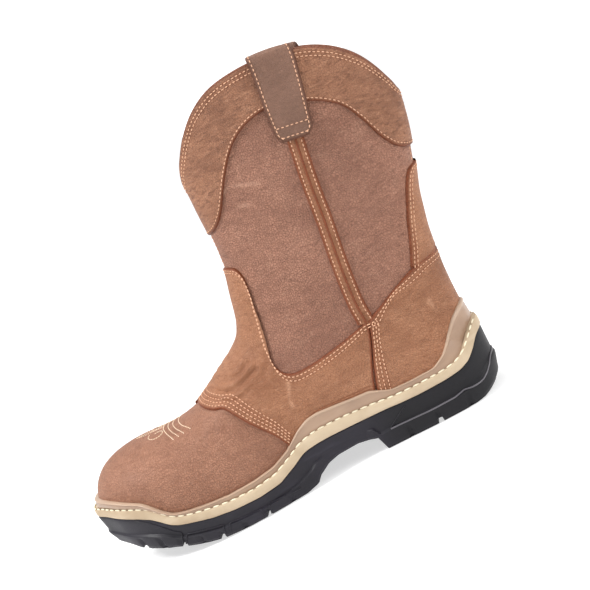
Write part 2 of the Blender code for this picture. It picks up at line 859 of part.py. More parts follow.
def above_rand(first, last):
    """Side outline just over the rand's top edge, between two stations."""
    stations = column(SOLE, SOLE_COLUMNS, "station")
    inner = [s for s in stations if min(first, last) < s < max(first, last)]
    if first > last:
        inner = inner[::-1]
    return [(s, sole_line("rand", s) + SEAT + 0.3) for s in [first] + inner + [last]]


def shifted(points, along_boot, up):
    return [(s + along_boot, z + up) for s, z in points]


def saddle_outline():
    seam = shifted(COUNTER_SEAM, 0.4, 0.0)
    front = [(190.0, 161.0)] + list(SADDLE_TOP_EDGE[:-1])
    low = above_rand(seam[-1][0], SADDLE_CORNER)
    return front + seam[:-1] + low + list(SADDLE_FRONT_EDGE[-2::-1]) + [(214.0, 96.0)]


def counter_outline():
    seam = shifted(COUNTER_SEAM, -0.4, 0.0)
    low = above_rand(seam[-1][0], 2.0)
    back = [(-20.0, sole_line("rand", 2.0) + 0.6), (-20.0, COUNTER_TOP_EDGE[-1][1])]
    return seam[:-1] + low + back + list(COUNTER_TOP_EDGE[:0:-1])


def back_strip_outline():
    low = shifted(COUNTER_TOP_EDGE[:3:-1], 0.0, 0.7)
    far = BACK_STRIP_EDGE[-1][1]
    return [(-40.0, far), (-40.0, low[0][1])] + low + list(BACK_STRIP_EDGE)


def cuff_outline():
    return [(170.0, CUFF_EDGE[0][1])] + list(CUFF_EDGE) + [
        (-60.0, CUFF_EDGE[-1][1]), (-60.0, 320.0), (170.0, 320.0),
    ]


def seam_outline():
    top = (48.0, straight([p[0] for p in CUFF_EDGE][::-1], [p[1] for p in CUFF_EDGE][::-1], 48.0))
    line = [(top[0] - 2.0, top[1] - 4.4)] + list(SIDE_SEAM)
    fore = [(s + SEAM_STRIP_HALF, z) for s, z in line]
    rear = [(s - SEAM_STRIP_HALF, z) for s, z in line]
    fore[0] = (fore[0][0], fore[0][1] + 0.8)
    fore[-1] = (fore[-1][0], 87.0)
    rear[-1] = (rear[-1][0], 89.6)
    return fore + rear[::-1]


def make_strap(name, side, collection, finish):
    """A pull strap: up the outside, over the collar with a gap, and down the inside."""
    lanes = 3
    outside = SEAT + OVERLAY + SEAT + STRAP_THICK / 2
    inside = -(WALL + 2.4 * SEAT + STRAP_THICK / 2)
    line = [(r[0], r[1]) for r in STRAP]
    halves = column(STRAP, STRAP_COLUMNS, "half")
    heights = column(STRAP, STRAP_COLUMNS, "height")
    stations = [p[0] for p in COLLAR][::-1]
    edge = [p[1] for p in COLLAR][::-1]
    down = Vector((line[0][0] - line[-1][0], line[0][1] - line[-1][1])).normalized()
    across = Vector((-down.y, down.x))
    rows = []

    def lane_points(at, half, offset):
        made = []
        for k in range(lanes + 1):
            f = -1 + 2 * k / lanes
            s, z = at[0] + across.x * half * f, at[1] + across.y * half * f
            row, turn = locate(s, z)
            made.append(skin(row, turn * side, offset))
        return made

    def collar_points(offset, drop):
        made = []
        for k in range(lanes + 1):
            f = -1 + 2 * k / lanes
            s = line[-1][0] + across.x * halves[-1] * f
            z = straight(stations, edge, s) - drop
            row, turn = locate(s, z)
            made.append(skin(row, turn * side, offset))
        return made

    outer = 7
    low, high = heights[0], heights[-1] - 6.0
    for i in range(outer):
        z = low + (high - low) * i / (outer - 1)
        if i == 1:
            z = heights[1]
        s = straight(heights, [p[0] for p in line], z)
        rows.append(lane_points((s, z), straight(heights, halves, z), outside))
    rim_out, rim_in = collar_points(outside, 0.0), collar_points(inside, 0.0)
    arc = 6
    for i in range(arc + 1):
        angle = math.pi * i / arc
        points = []
        for a, b in zip(rim_out, rim_in):
            middle, reach = (a + b) / 2, (a - b) / 2
            up = Vector((0.0, 0.0, 1.0))
            lift = STRAP_RISE * MM - reach.length - STRAP_THICK / 2 * MM
            points.append(middle + up * lift + reach * math.cos(angle) + up * reach.length * math.sin(angle))
        rows.append(points)
    inner = 4
    for i in range(1, inner + 1):
        rows.append(collar_points(inside, STRAP_INSIDE_DROP * i / inner))
    points = [p for row in rows for p in row]
    made = mesh_object(name, points, grid_faces(len(rows), lanes + 1), collection, finish)
    add_solidify(made, STRAP_THICK, 0.0)
    return made


def main():
    for old in list(bpy.data.objects):
        bpy.data.objects.remove(old, do_unlink=True)
    boot = bpy.data.collections.new("western work boot")
    cutters = bpy.data.collections.new("cutters")
    bpy.context.scene.collection.children.link(boot)
    bpy.context.scene.collection.children.link(cutters)
    finishes = {name: material(name) for name in COLOURS}
    make_outsole(boot, cutters, finishes["outsole rubber"])
    midsole = make_midsole(boot, finishes["welt rubber"])
    upper = leather("upper", 0.0, WALL, -1.0, boot, finishes["pebbled leather"])
    tree = skin_tree(upper)
    rand = make_rand(tree, boot, finishes["rand rubber"])
    room = make_room(cutters)
    cut(midsole, room)
    cut(rand, room)
    make_insole(tree, boot, finishes["footbed"])
    for name, outline, low, high in (
        ("saddle", saddle_outline(), -90.0, 90.0),
        ("heel_counter", counter_outline(), -90.0, 90.0),
        ("back_strip", back_strip_outline(), -90.0, 90.0),
        ("collar_cuff", cuff_outline(), -90.0, 90.0),
        ("side_seam_lateral", seam_outline(), -90.0, -1.0),
        ("side_seam_medial", seam_outline(), 1.0, 90.0),
    ):
        overlay(name, outline, low, high, boot, cutters, finishes["leather"])
    make_strap("pull_strap_lateral", LATERAL, boot, finishes["strap leather"])
    make_strap("pull_strap_medial", MEDIAL, boot, finishes["strap leather"])
    return boot


main()
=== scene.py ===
# %% [markdown]
# A pull-on western work boot is a hollow leather upper on a moulded sole. It has
# no laces: the foot goes in at a scalloped collar, and two pull straps help. Every
# piece here is worked out from the same short tables of sizes, in millimetres:
# stations run forward from the back of the heel, and heights run up from the floor.
# A table per form keeps the upper, its overlays, its seams and its sole in one
# shape, which separate modelling by eye would not.

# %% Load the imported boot
import json
import math
import bmesh
import bpy
import numpy as np
from mathutils import Matrix, Vector
from mathutils.bvhtree import BVHTree

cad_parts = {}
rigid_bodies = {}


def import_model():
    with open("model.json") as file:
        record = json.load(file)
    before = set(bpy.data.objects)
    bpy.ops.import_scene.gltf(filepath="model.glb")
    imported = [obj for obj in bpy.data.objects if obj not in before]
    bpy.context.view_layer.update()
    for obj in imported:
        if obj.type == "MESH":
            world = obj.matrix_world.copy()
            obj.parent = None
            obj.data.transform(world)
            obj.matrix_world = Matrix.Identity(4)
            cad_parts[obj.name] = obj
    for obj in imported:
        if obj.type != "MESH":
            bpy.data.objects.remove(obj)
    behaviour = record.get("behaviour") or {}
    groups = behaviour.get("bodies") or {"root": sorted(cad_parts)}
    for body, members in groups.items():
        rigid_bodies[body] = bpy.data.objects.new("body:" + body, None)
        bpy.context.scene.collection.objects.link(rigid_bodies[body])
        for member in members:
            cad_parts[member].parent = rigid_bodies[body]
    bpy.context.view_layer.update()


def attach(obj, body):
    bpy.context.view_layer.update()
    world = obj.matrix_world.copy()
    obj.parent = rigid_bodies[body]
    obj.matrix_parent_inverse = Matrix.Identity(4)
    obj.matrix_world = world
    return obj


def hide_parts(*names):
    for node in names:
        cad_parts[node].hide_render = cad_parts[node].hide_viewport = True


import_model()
scene = bpy.context.scene

# %% [markdown]
# The sizes are the same ones that the solid was built from. A table has a row for
# each place on the boot and a name for each column, so a change of shape is a change
# to one row. All lengths are in millimetres, until a point is placed in the frame.

# %% The sole's sizes
MM = 0.001
LATERAL, MEDIAL = -1, 1
LENGTH = 312.0
ORIGIN_STATION = 142.89
HEEL_RADIUS = 35.0
TOE_RADIUS_LATERAL = 38.0
TOE_RADIUS_MEDIAL = 46.0
WALL = 2.2
OVERLAY = 1.5
SEAT = 0.3
FLOOR_DROP = 1.6

# The feather line is where the leather meets the sole, inside the sole's edge.
FEATHER_HEEL = 6.5
FEATHER_TOE = 305.5
FEATHER_INSET = 7.0
LEAN_OUT = 1.8
LEAN_OUT_TOE = 0.9

# Half widths of the sole's edge on the two sides of the middle line.
OUTLINE_COLUMNS = ("station", "lateral", "medial")
OUTLINE = (
    (20.0, 32.6, 32.6),
    (45.0, 38.6, 38.4),
    (75.0, 39.0, 37.6),
    (105.0, 39.4, 35.4),
    (135.0, 43.4, 36.6),
    (165.0, 50.6, 43.8),
    (195.0, 56.4, 52.2),
    (220.0, 57.8, 56.8),
    (245.0, 55.4, 57.4),
    (270.0, 47.8, 52.0),
    (290.0, 35.4, 40.6),
    (303.0, 21.6, 25.8),
)

# Heights along the sole: under the tread, the top of the black outsole at its
# edge, the top of the pale welt, the top of the rand, and the foot bed.
SOLE_COLUMNS = ("station", "tread", "outsole", "welt", "rand", "bed")
SOLE = (
    (0.0, 2.8, 41.0, 49.0, 66.0, 31.6),
    (2.0, 2.4, 40.8, 48.6, 65.6, 31.6),
    (6.0, 1.7, 39.0, 46.2, 64.0, 31.5),
    (12.0, 0.8, 33.0, 41.0, 61.4, 31.4),
    (18.0, 0.2, 28.4, 36.2, 57.4, 31.3),
    (25.0, 0.0, 26.2, 33.2, 49.5, 31.2),
    (33.0, 0.0, 25.4, 32.0, 41.0, 31.0),
    (42.0, 0.0, 25.0, 31.6, 36.4, 31.0),
    (60.0, 0.0, 24.8, 31.4, 36.2, 30.9),
    (74.0, 0.0, 25.2, 31.8, 36.8, 30.7),
    (81.0, 0.0, 25.8, 32.4, 40.0, 30.5),
    (88.0, 0.0, 26.0, 33.2, 43.2, 30.3),
    (95.0, 0.0, 26.2, 33.8, 43.6, 30.1),
    (98.0, 10.0, 26.3, 34.0, 43.8, 30.0),
    (112.0, 12.6, 26.8, 35.2, 45.4, 29.7),
    (127.0, 12.3, 27.4, 35.8, 47.0, 29.0),
    (135.0, 10.6, 27.4, 35.7, 46.2, 28.2),
    (143.6, 6.6, 26.8, 34.3, 42.4, 26.8),
    (147.4, 2.4, 26.0, 33.2, 40.0, 26.1),
    (157.0, 0.3, 21.4, 28.8, 33.4, 24.0),
    (170.0, 0.0, 16.2, 23.6, 28.2, 21.4),
    (186.0, 0.0, 14.8, 21.8, 26.6, 20.0),
    (205.0, 0.0, 15.6, 22.4, 26.4, 19.6),
    (222.0, 0.8, 17.6, 24.6, 28.0, 20.4),
    (236.0, 3.2, 20.6, 27.0, 29.8, 22.3),
    (246.0, 5.6, 22.8, 29.6, 32.0, 24.4),
    (252.0, 7.2, 25.2, 33.2, 36.4, 25.8),
    (258.0, 9.0, 30.0, 38.4, 42.6, 27.4),
    (264.0, 10.2, 34.2, 42.4, 47.6, 29.0),
    (272.0, 12.2, 37.2, 45.0, 50.6, 31.2),
    (282.0, 14.0, 40.0, 47.4, 54.0, 33.8),
    (291.0, 16.0, 42.4, 49.4, 56.6, 36.2),
    (299.0, 17.8, 44.2, 50.6, 57.8, 37.9),
    (305.5, 19.4, 45.0, 51.2, 58.2, 38.8),
    (310.0, 20.8, 45.5, 51.5, 58.4, 39.2),
    (312.0, 21.4, 45.6, 51.6, 58.5, 39.4),
)

# Steps of the outsole's side, from the tread to the rim: the share of the side's
# height, and the inset from the edge along the sides, the heel, the toe and the arch.
STEP_COLUMNS = ("share", "side", "heel", "toe", "arch")
OUTSOLE_STEPS = (
    (0.00, 2.8, 8.0, 7.4, 5.0),
    (0.12, 1.0, 4.0, 4.6, 3.2),
    (0.44, 0.2, 0.6, 1.6, 2.6),
    (0.51, 1.9, 2.0, 2.4, 2.2),
    (1.00, 0.5, 1.4, 0.5, 1.0),
)
ARCH_PANEL = (99.0, 104.0, 134.0, 143.0)

# %% [markdown]
# The upper changes its section from a low, wide toe to an upright oval shaft. Rings
# fanned round the instep follow that better than level slices, which would cut the
# foot and the shaft at bad angles.

# %% The upper's rings
# Rings of the upper. Each lies in a plane seen edge-on from the side: it runs
# from a base point (on the feather line, then up the back) to a top point (over
# the vamp, then up the front). Half widths are taken midway between the two.
RING_COLUMNS = (
    "top_at", "top_high", "base_at", "base_high",
    "mid_lateral", "mid_medial", "top_full", "base_full",
)
RINGS = (
    (305.5, 39.4, 298.0, 38.0, 15.5, 17.5, 1.0, 1.0),
    (305.4, 48.0, 292.0, 36.6, 21.8, 24.0, 1.1, 1.0),
    (303.8, 57.0, 286.0, 34.9, 26.4, 29.2, 1.2, 1.0),
    (299.6, 66.0, 279.0, 33.0, 32.2, 35.8, 1.3, 1.0),
    (291.5, 73.6, 271.0, 30.9, 38.0, 41.8, 1.4, 1.0),
    (281.0, 78.2, 262.0, 28.5, 43.2, 46.6, 1.5, 1.0),
    (268.0, 80.4, 251.0, 25.6, 47.6, 50.0, 1.5, 1.0),
    (254.0, 80.6, 239.0, 22.9, 50.0, 51.4, 1.5, 1.0),
    (240.5, 79.5, 227.0, 20.9, 51.0, 50.8, 1.45, 1.0),
    (228.0, 79.4, 215.0, 20.0, 50.8, 49.2, 1.4, 1.0),
    (216.0, 81.2, 202.0, 19.6, 49.6, 46.6, 1.3, 1.0),
    (204.1, 84.2, 188.0, 19.9, 47.6, 43.4, 1.2, 1.0),
    (193.1, 89.4, 173.0, 21.2, 45.0, 40.4, 1.15, 1.0),
    (182.1, 95.2, 157.0, 24.0, 42.4, 38.2, 1.1, 1.0),
    (171.6, 101.2, 140.0, 27.3, 40.2, 37.0, 1.05, 1.0),
    (162.1, 107.2, 120.0, 29.4, 38.4, 36.2, 1.05, 1.05),
    (155.3, 113.2, 98.0, 30.0, 37.0, 35.8, 1.05, 1.1),
    (150.7, 121.5, 75.0, 30.7, 36.2, 35.6, 1.05, 1.15),
    (148.1, 129.5, 51.0, 30.9, 35.6, 35.4, 1.1, 1.2),
    (145.9, 137.5, 30.0, 31.1, 35.2, 35.2, 1.1, 1.25),
    (143.9, 145.0, 15.0, 31.4, 35.0, 35.0, 1.1, 1.3),
    (141.9, 152.0, 6.5, 31.6, 34.8, 34.8, 1.1, 1.3),
    (140.1, 159.0, 6.4, 45.0, 34.8, 34.8, 1.1, 1.3),
    (139.1, 166.0, 6.7, 60.0, 34.8, 34.8, 1.1, 1.3),
    (138.0, 174.0, 6.9, 76.0, 34.8, 34.8, 1.1, 1.25),
    (137.2, 183.0, 5.3, 97.0, 34.8, 34.8, 1.1, 1.2),
    (136.3, 192.5, 1.9, 119.0, 34.9, 34.9, 1.1, 1.15),
    (135.9, 202.0, -3.9, 142.0, 35.0, 35.0, 1.1, 1.1),
    (135.6, 212.0, -10.9, 163.0, 35.2, 35.2, 1.1, 1.1),
    (135.4, 223.0, -17.9, 186.0, 35.4, 35.4, 1.1, 1.1),
    (135.2, 238.0, -23.1, 208.0, 35.4, 35.4, 1.1, 1.1),
    (135.0, 254.0, -25.5, 232.0, 35.2, 35.2, 1.1, 1.1),
    (134.8, 271.0, -26.9, 258.0, 34.8, 34.8, 1.1, 1.1),
    (134.6, 290.0, -27.5, 288.0, 34.4, 34.4, 1.1, 1.1),
)
HEEL_RING = 21
SHAFT_RING = 24

# %% [markdown]
# The edges of the leather pieces are drawn in the side view, as a pattern cutter
# draws them on a last: a line of (station, height) points for each edge.

# %% The edges of the leather pieces
# The collar's edge as seen from the side, from the front dip to the back dip.
COLLAR = (
    (137.0, 221.5),
    (134.8, 225.4),
    (132.2, 231.6),
    (127.6, 239.5),
    (116.6, 252.5),
    (102.0, 264.6),
    (84.0, 272.2),
    (62.0, 274.4),
    (40.0, 272.8),
    (22.0, 268.4),
    (8.0, 261.6),
    (-3.0, 253.0),
    (-12.0, 242.0),
    (-18.2, 230.0),
    (-22.4, 217.0),
    (-24.4, 207.0),
)

# Lower edge of the collar's cuff, in the same order.
CUFF_EDGE = (
    (137.8, 185.5),
    (133.0, 186.5),
    (126.0, 190.0),
    (118.6, 197.0),
    (108.4, 211.0),
    (97.2, 225.0),
    (86.6, 234.6),
    (75.0, 240.6),
    (61.0, 243.4),
    (46.0, 241.6),
    (31.0, 235.4),
    (20.0, 228.6),
    (11.0, 220.0),
    (4.6, 206.0),
    (0.2, 192.0),
    (-5.0, 181.5),
    (-11.0, 176.0),
    (-16.8, 174.5),
)

# The saddle covers the instep, with a tongue up the front. Its two edges run
# from the middle line at the front to the seam beside the heel counter.
SADDLE_TOP_EDGE = (
    (140.8, 160.5),
    (135.5, 160.0),
    (130.0, 157.0),
    (128.0, 148.0),
    (131.2, 132.0),
    (136.2, 112.0),
    (138.2, 97.0),
    (136.2, 84.5),
    (129.0, 78.0),
    (116.0, 77.2),
    (102.0, 78.8),
    (90.0, 80.8),
    (77.0, 83.4),
    (66.0, 86.2),
)
SADDLE_FRONT_EDGE = (
    (207.5, 84.6),
    (204.4, 84.4),
    (198.6, 81.6),
    (191.2, 78.6),
    (183.6, 76.6),
    (177.3, 69.8),
    (171.5, 62.2),
    (164.9, 54.0),
    (158.8, 46.0),
    (154.2, 36.8),
)
SADDLE_CORNER = 154.2

# Upper edge of the heel counter, from its seam to the back.
COUNTER_TOP_EDGE = (
    (66.0, 86.2),
    (54.0, 90.4),
    (40.8, 96.0),
    (28.0, 100.6),
    (16.0, 103.4),
    (4.0, 103.6),
)

# Side edge of the back strip, from the counter to its rounded top.
BACK_STRIP_EDGE = (
    (24.0, 102.5),
    (19.4, 112.0),
    (13.0, 127.0),
    (6.2, 142.0),
    (0.0, 154.0),
    (-5.4, 161.6),
    (-12.0, 164.0),
)

# Each side seam runs under a raised strip, from the pull strap to the saddle.
SIDE_SEAM = ((50.0, 213.0), (54.6, 187.0), (58.4, 160.0), (63.4, 130.0), (66.6, 104.0), (66.9, 89.0))

# %% [markdown]
# The straps and the tread have few sizes of their own. The straps narrow towards
# their lower end, and the tread has bars across it and a channel along it.

# %% Straps and tread
# Pull straps: centre line from the lower end to the collar, and half widths.
STRAP_COLUMNS = ("station", "height", "half")
STRAP = (
    (48.4, 217.0, 10.4),
    (47.2, 222.5, 13.0),
    (44.6, 237.0, 14.0),
    (41.2, 254.0, 14.8),
    (38.2, 270.0, 15.4),
)
STRAP_THICK = 2.0
STRAP_RISE = 5.2
STRAP_INSIDE_DROP = 44.0

# Grooves across the tread: station, width along the boot, depth, and half length.
GROOVES = (
    (30.0, 4.0, 4.0, 27.0),
    (54.0, 4.0, 3.4, 75.0),
    (76.0, 4.0, 4.0, 29.0),
    (168.0, 4.0, 4.0, 42.0),
    (187.0, 4.0, 3.4, 75.0),
    (205.0, 4.0, 4.0, 46.0),
    (223.0, 4.0, 3.4, 75.0),
    (237.0, 4.0, 4.0, 45.0),
    (251.0, 4.0, 3.4, 75.0),
    (266.0, 4.0, 4.0, 38.0),
    (281.5, 4.0, 3.2, 75.0),
)
# Lengthwise channels of the tread: first station, last station, width, depth.
CHANNELS = ((16.0, 96.5, 7.0, 3.6), (152.0, 221.0, 7.0, 3.2))


def table(rows, names):
    return {name: np.array([row[i] for row in rows], float) for i, name in enumerate(names)}


outline = table(OUTLINE, OUTLINE_COLUMNS)
sole = table(SOLE, SOLE_COLUMNS)
ring = table(RINGS, RING_COLUMNS)
strap = table(STRAP, STRAP_COLUMNS)
print("sole length", LENGTH, "mm, leather", WALL, "mm")

# %% [markdown]
# A row of a table gives one place on the boot. Between rows the value has to run
# smoothly, or the leather shows flat bands. A Catmull-Rom curve passes through
# every row, so the sizes stay true, and numpy works it out for a whole grid of
# points at once.

# %% Smooth values between the rows of a table
def smooth(values, t):
    """Catmull-Rom values at row numbers t of a column."""
    v, t = np.asarray(values, float), np.asarray(t, float)
    last = len(v) - 1
    i = np.clip(t.astype(int), 0, last - 1)
    f = t - i
    p1, p2 = v[i], v[i + 1]
    p0 = np.where(i > 0, v[np.maximum(i - 1, 0)], 2 * p1 - p2)
    p3 = np.where(i + 2 <= last, v[np.minimum(i + 2, last)], 2 * p2 - p1)
    return 0.5 * (
        2 * p1 + (p2 - p0) * f + (2 * p0 - 5 * p1 + 4 * p2 - p3) * f * f
        + (3 * p1 - p0 - 3 * p2 + p3) * f ** 3
    )


def dense(points, count, curved=True):
    """A line of (station, height) points, evenly spaced by length."""
    p = np.array(points, float)
    t = np.linspace(0, len(p) - 1, 40 * len(p))
    if curved:
        fine = np.stack([smooth(p[:, 0], t), smooth(p[:, 1], t)], 1)
    else:
        at = np.arange(len(p))
        fine = np.stack([np.interp(t, at, p[:, 0]), np.interp(t, at, p[:, 1])], 1)
    run = np.concatenate(([0], np.cumsum(np.hypot(*np.diff(fine, axis=0).T))))
    want = np.linspace(0, run[-1], count) if np.isscalar(count) else np.array(count) * run[-1]
    return np.stack([np.interp(want, run, fine[:, 0]), np.interp(want, run, fine[:, 1])], 1)


def ease(x, low, high):
    """0 before low and 1 after high, softly between."""
    f = np.clip((np.asarray(x, float) - low) / (high - low), 0, 1)
    return f * f * (3 - 2 * f)


def place(station, across, height):
    """Metres in the boot's frame."""
    shape = np.broadcast(station, across, height).shape
    out = np.empty(shape + (3,))
    out[..., 0] = (ORIGIN_STATION - np.asarray(station)) * MM
    out[..., 1] = np.asarray(across) * MM
    out[..., 2] = np.asarray(height) * MM
    return out


# %% [markdown]
# The sole's outline is given as half widths on either side of a middle line. Near
# heel and toe a width falls to nothing along a round curve, which a plain spline
# would draw as a point, so the table is smoothed after dividing by that curve.

# %% The sole's edge and its heights
def rounding(station):
    share = np.clip(1 - 2 * np.asarray(station, float) / LENGTH, -1, 1)
    return np.sqrt(np.maximum(0.0, 1 - share * share))


def half_width(station, side):
    """Half width of the sole's edge on one side of the middle line."""
    station = np.clip(station, 0, LENGTH)
    stations = np.concatenate(([0.0], outline["station"], [LENGTH]))
    row = np.interp(station, stations, np.arange(len(stations)))

    def one(name, toe_radius):
        heel, toe = math.sqrt(HEEL_RADIUS * LENGTH / 2), math.sqrt(toe_radius * LENGTH / 2)
        inner = outline[name] / rounding(outline["station"])
        return smooth(np.concatenate(([heel], inner, [toe])), row) * rounding(station)

    return np.where(
        np.asarray(side) < 0, one("lateral", TOE_RADIUS_LATERAL), one("medial", TOE_RADIUS_MEDIAL)
    )


def feather_half(station, side):
    share = (station - FEATHER_HEEL) / (FEATHER_TOE - FEATHER_HEEL)
    at = np.clip(share, 0, 1) * LENGTH
    return half_width(at, side) - FEATHER_INSET * rounding(at)


def sole_line(name, station):
    return np.interp(station, sole["station"], sole[name])


def soft_line(name, station, reach=3.0):
    """A sole line with its corners rounded over a reach in millimetres."""
    steps = np.linspace(-reach, reach, 7)
    return sum(sole_line(name, station + d) for d in steps) / len(steps)


# %% [markdown]
# The upper is one function. Rings run from the toe round the foot and up the
# shaft like the ribs of a fan, and a turn runs round each ring, from the sole or
# the back seam over the front and down again. Leather also shows where a foot has
# bent it, so creases are given as short lines in the same sizes. They
# press the surface in by 1.3 mm at most, and fade towards the middle line, where
# they would fray the boot's outline.

# %% Creases, listed one by one
CREASE_COLUMNS = ("line", "depth", "width")
CREASES = (
    (((190.5, 95.0), (186.0, 90.5), (179.0, 86.0), (170.0, 84.6), (160.0, 87.0), (150.0, 90.5)), 0.95, 1.5),
    (((186.0, 99.0), (181.0, 93.5), (173.0, 90.4), (164.0, 91.4), (153.0, 96.5)), 0.75, 1.4),
    (((181.0, 103.0), (176.0, 98.0), (168.0, 96.6), (160.0, 99.0)), 0.55, 1.4),
    (((193.5, 89.0), (188.0, 84.6), (180.0, 80.4), (171.0, 78.2), (160.0, 80.0)), 0.55, 1.3),
    (((174.0, 107.0), (167.0, 103.4), (158.0, 103.6), (151.0, 106.0)), 0.4, 1.6),
    (((166.0, 76.5), (157.0, 77.0), (146.0, 76.0)), 0.3, 1.8),
    (((150.0, 84.0), (142.0, 88.0), (139.0, 96.0)), 0.3, 2.2),
    (((186.0, 70.0), (190.0, 60.0), (192.0, 50.0)), 0.28, 2.4),
    (((193.0, 71.0), (198.0, 60.0), (199.0, 48.0)), 0.24, 2.4),
    (((202.0, 76.0), (207.0, 64.0), (208.0, 52.0)), 0.2, 2.6),
    (((122.0, 118.0), (108.0, 112.0), (90.0, 111.0)), 0.35, 4.2),
    (((128.0, 134.0), (112.0, 131.0), (96.0, 127.0), (76.0, 128.0)), 0.4, 4.6),
    (((112.0, 104.0), (98.0, 98.0), (84.0, 96.5)), 0.3, 3.6),
    (((36.0, 138.0), (24.0, 134.0), (14.0, 134.0)), 0.4, 3.6),
    (((46.0, 122.0), (34.0, 117.0), (24.0, 117.0)), 0.35, 3.6),
    (((118.0, 160.0), (104.0, 164.0), (84.0, 163.0)), 0.25, 5.5),
    (((44.0, 176.0), (28.0, 172.0), (12.0, 172.0)), 0.3, 5.0),
    (((-16.0, 192.0), (-6.0, 196.0), (2.0, 204.0)), 0.4, 1.6),
    (((-19.0, 199.0), (-9.0, 203.0), (0.0, 211.0)), 0.42, 1.6),
    (((-21.0, 206.0), (-11.0, 210.5), (-3.0, 218.0)), 0.36, 1.6),
    (((-13.0, 186.0), (-5.0, 190.0)), 0.3, 1.5),
    (((-22.0, 214.0), (-12.0, 219.0), (-4.0, 227.0)), 0.28, 1.8),
    (((6.0, 226.0), (0.0, 236.0), (-4.0, 244.0)), 0.22, 2.0),
    (((16.0, 236.0), (11.0, 246.0), (8.0, 254.0)), 0.22, 2.0),
    (((128.0, 205.0), (122.0, 214.0), (112.0, 224.0)), 0.2, 2.4),
    (((120.0, 226.0), (110.0, 237.0), (98.0, 246.0)), 0.2, 2.4),
)


def to_line(station, height, line):
    """Distance in the side view from points to a line."""
    best = np.full(np.shape(station), 1e9)
    for (a, b), (c, d) in zip(line, line[1:]):
        run = (c - a) ** 2 + (d - b) ** 2
        f = np.clip(((station - a) * (c - a) + (height - b) * (d - b)) / run, 0, 1)
        best = np.minimum(best, np.hypot(station - a - f * (c - a), height - b - f * (d - b)))
    return best


# Scuffs on the outer side: line in the side view, and width of the rubbed streak.
SCUFFS = (
    (((112.0, 208.0), (104.0, 209.5), (95.0, 206.5), (86.0, 203.0)), 1.3),
    (((107.0, 196.0), (99.0, 193.0)), 1.6),
    (((24.5, 77.0), (23.0, 69.0)), 1.5),
    (((134.0, 73.0), (138.5, 59.0)), 1.6),
    (((30.0, 240.0), (20.0, 236.0)), 1.6),
)


def rubbed(p):
    """0 to 1: how much the finish is rubbed pale at millimetre points."""
    out = np.zeros(p.shape[:-1])
    for line, width in SCUFFS:
        out = np.maximum(out, np.exp(-((to_line(p[..., 0], p[..., 2], line) / width) ** 2)))
    return out * (p[..., 1] < 0)


# Worn leather in millimetres: slow waves, quicker ripples, and for a crease as deep
# as 1 its dip and the ridge beside it. MIDDLE_SHARE is what is left on the midline.
WAVES, RIPPLES, DIP, RIDGE = 0.42, 0.2, 1.35, 0.6
MIDDLE_SHARE = 0.35


def relief(p):
    """How far the leather stands out of its plain form, in millimetres."""
    s, y, z = p[..., 0], p[..., 1], p[..., 2]
    out = WAVES * np.sin(s / 17 + z / 29 + 0.4 * np.sign(y)) * np.sin(z / 21 - s / 41 + 1.3)
    out += RIPPLES * np.sin(s / 7.3 - z / 11.7 + 0.9) * np.sin(z / 9.1 + y / 13)
    shift = np.where(y > 0, 3.0, 0.0)
    calm = MIDDLE_SHARE + (1 - MIDDLE_SHARE) * ease(np.abs(y), 3.0, 12.0)
    for line, depth, width in CREASES:
        d = to_line(s + shift, z + 0.6 * shift, dense(line, 9))
        out -= DIP * calm * depth * np.exp(-((d / width) ** 2))
        out += RIDGE * calm * depth * np.exp(-(((d - 2.1 * width) / (1.2 * width)) ** 2))
    return out * ease(z, 20, 60) * (1 - 0.75 * ease(s, 225, 262))


# %% [markdown]
# A ring's half width comes from its base, its middle and how full it is above and
# below. Close to the welt the leather may lean out only a little, as it does over
# a last. The normal is found by looking a little way to each side, so offsets of
# a skin are true thicknesses.

# %% The upper's own function
def ring_ends(row):
    base_at, base_high = smooth(ring["base_at"], row), smooth(ring["base_high"], row)
    base_high = np.where(row <= HEEL_RING, sole_line("bed", base_at), base_high)
    return base_at, base_high, smooth(ring["top_at"], row), smooth(ring["top_high"], row)


def skin_point(row, turn):
    """Millimetre points of the leather's plain outer face."""
    row, turn = np.broadcast_arrays(np.asarray(row, float), np.asarray(turn, float))
    side = np.where(turn < 0, LATERAL, MEDIAL)
    share = (1 + np.cos(np.pi * np.minimum(1.0, np.abs(turn)))) / 2
    base_at, base_high, top_at, top_high = ring_ends(row)
    mid = np.where(side < 0, smooth(ring["mid_lateral"], row), smooth(ring["mid_medial"], row))
    top_full, base_full = smooth(ring["top_full"], row), smooth(ring["base_full"], row)
    base = np.where(row < HEEL_RING, feather_half(base_at, side), 0.0)
    fall_mid, rise_mid = 1 - 0.5 ** top_full, 1 - 0.5 ** base_full
    fall, rise = 1 - share ** top_full, 1 - (1 - share) ** base_full
    swell = (mid * mid - fall_mid * base * base) / (fall_mid * rise_mid)
    half = np.sqrt(np.maximum(0.0, fall * (base * base + swell * rise)))
    station = base_at + (top_at - base_at) * share
    height = base_high + (top_high - base_high) * share
    over = np.maximum(0.0, height - sole_line("welt", station) - 0.5)
    lean = LEAN_OUT + (LEAN_OUT_TOE - LEAN_OUT) * ease(station, 250.0, 290.0)
    limit = feather_half(station, side) + lean + over
    half = np.where(row < HEEL_RING, np.minimum(half, limit), half)
    return np.stack([station, side * half, height], -1)


def wrapped(turn):
    """A turn that has run on past the back seam, as the other side counts it."""
    return np.where(turn < -1, turn + 2, turn)


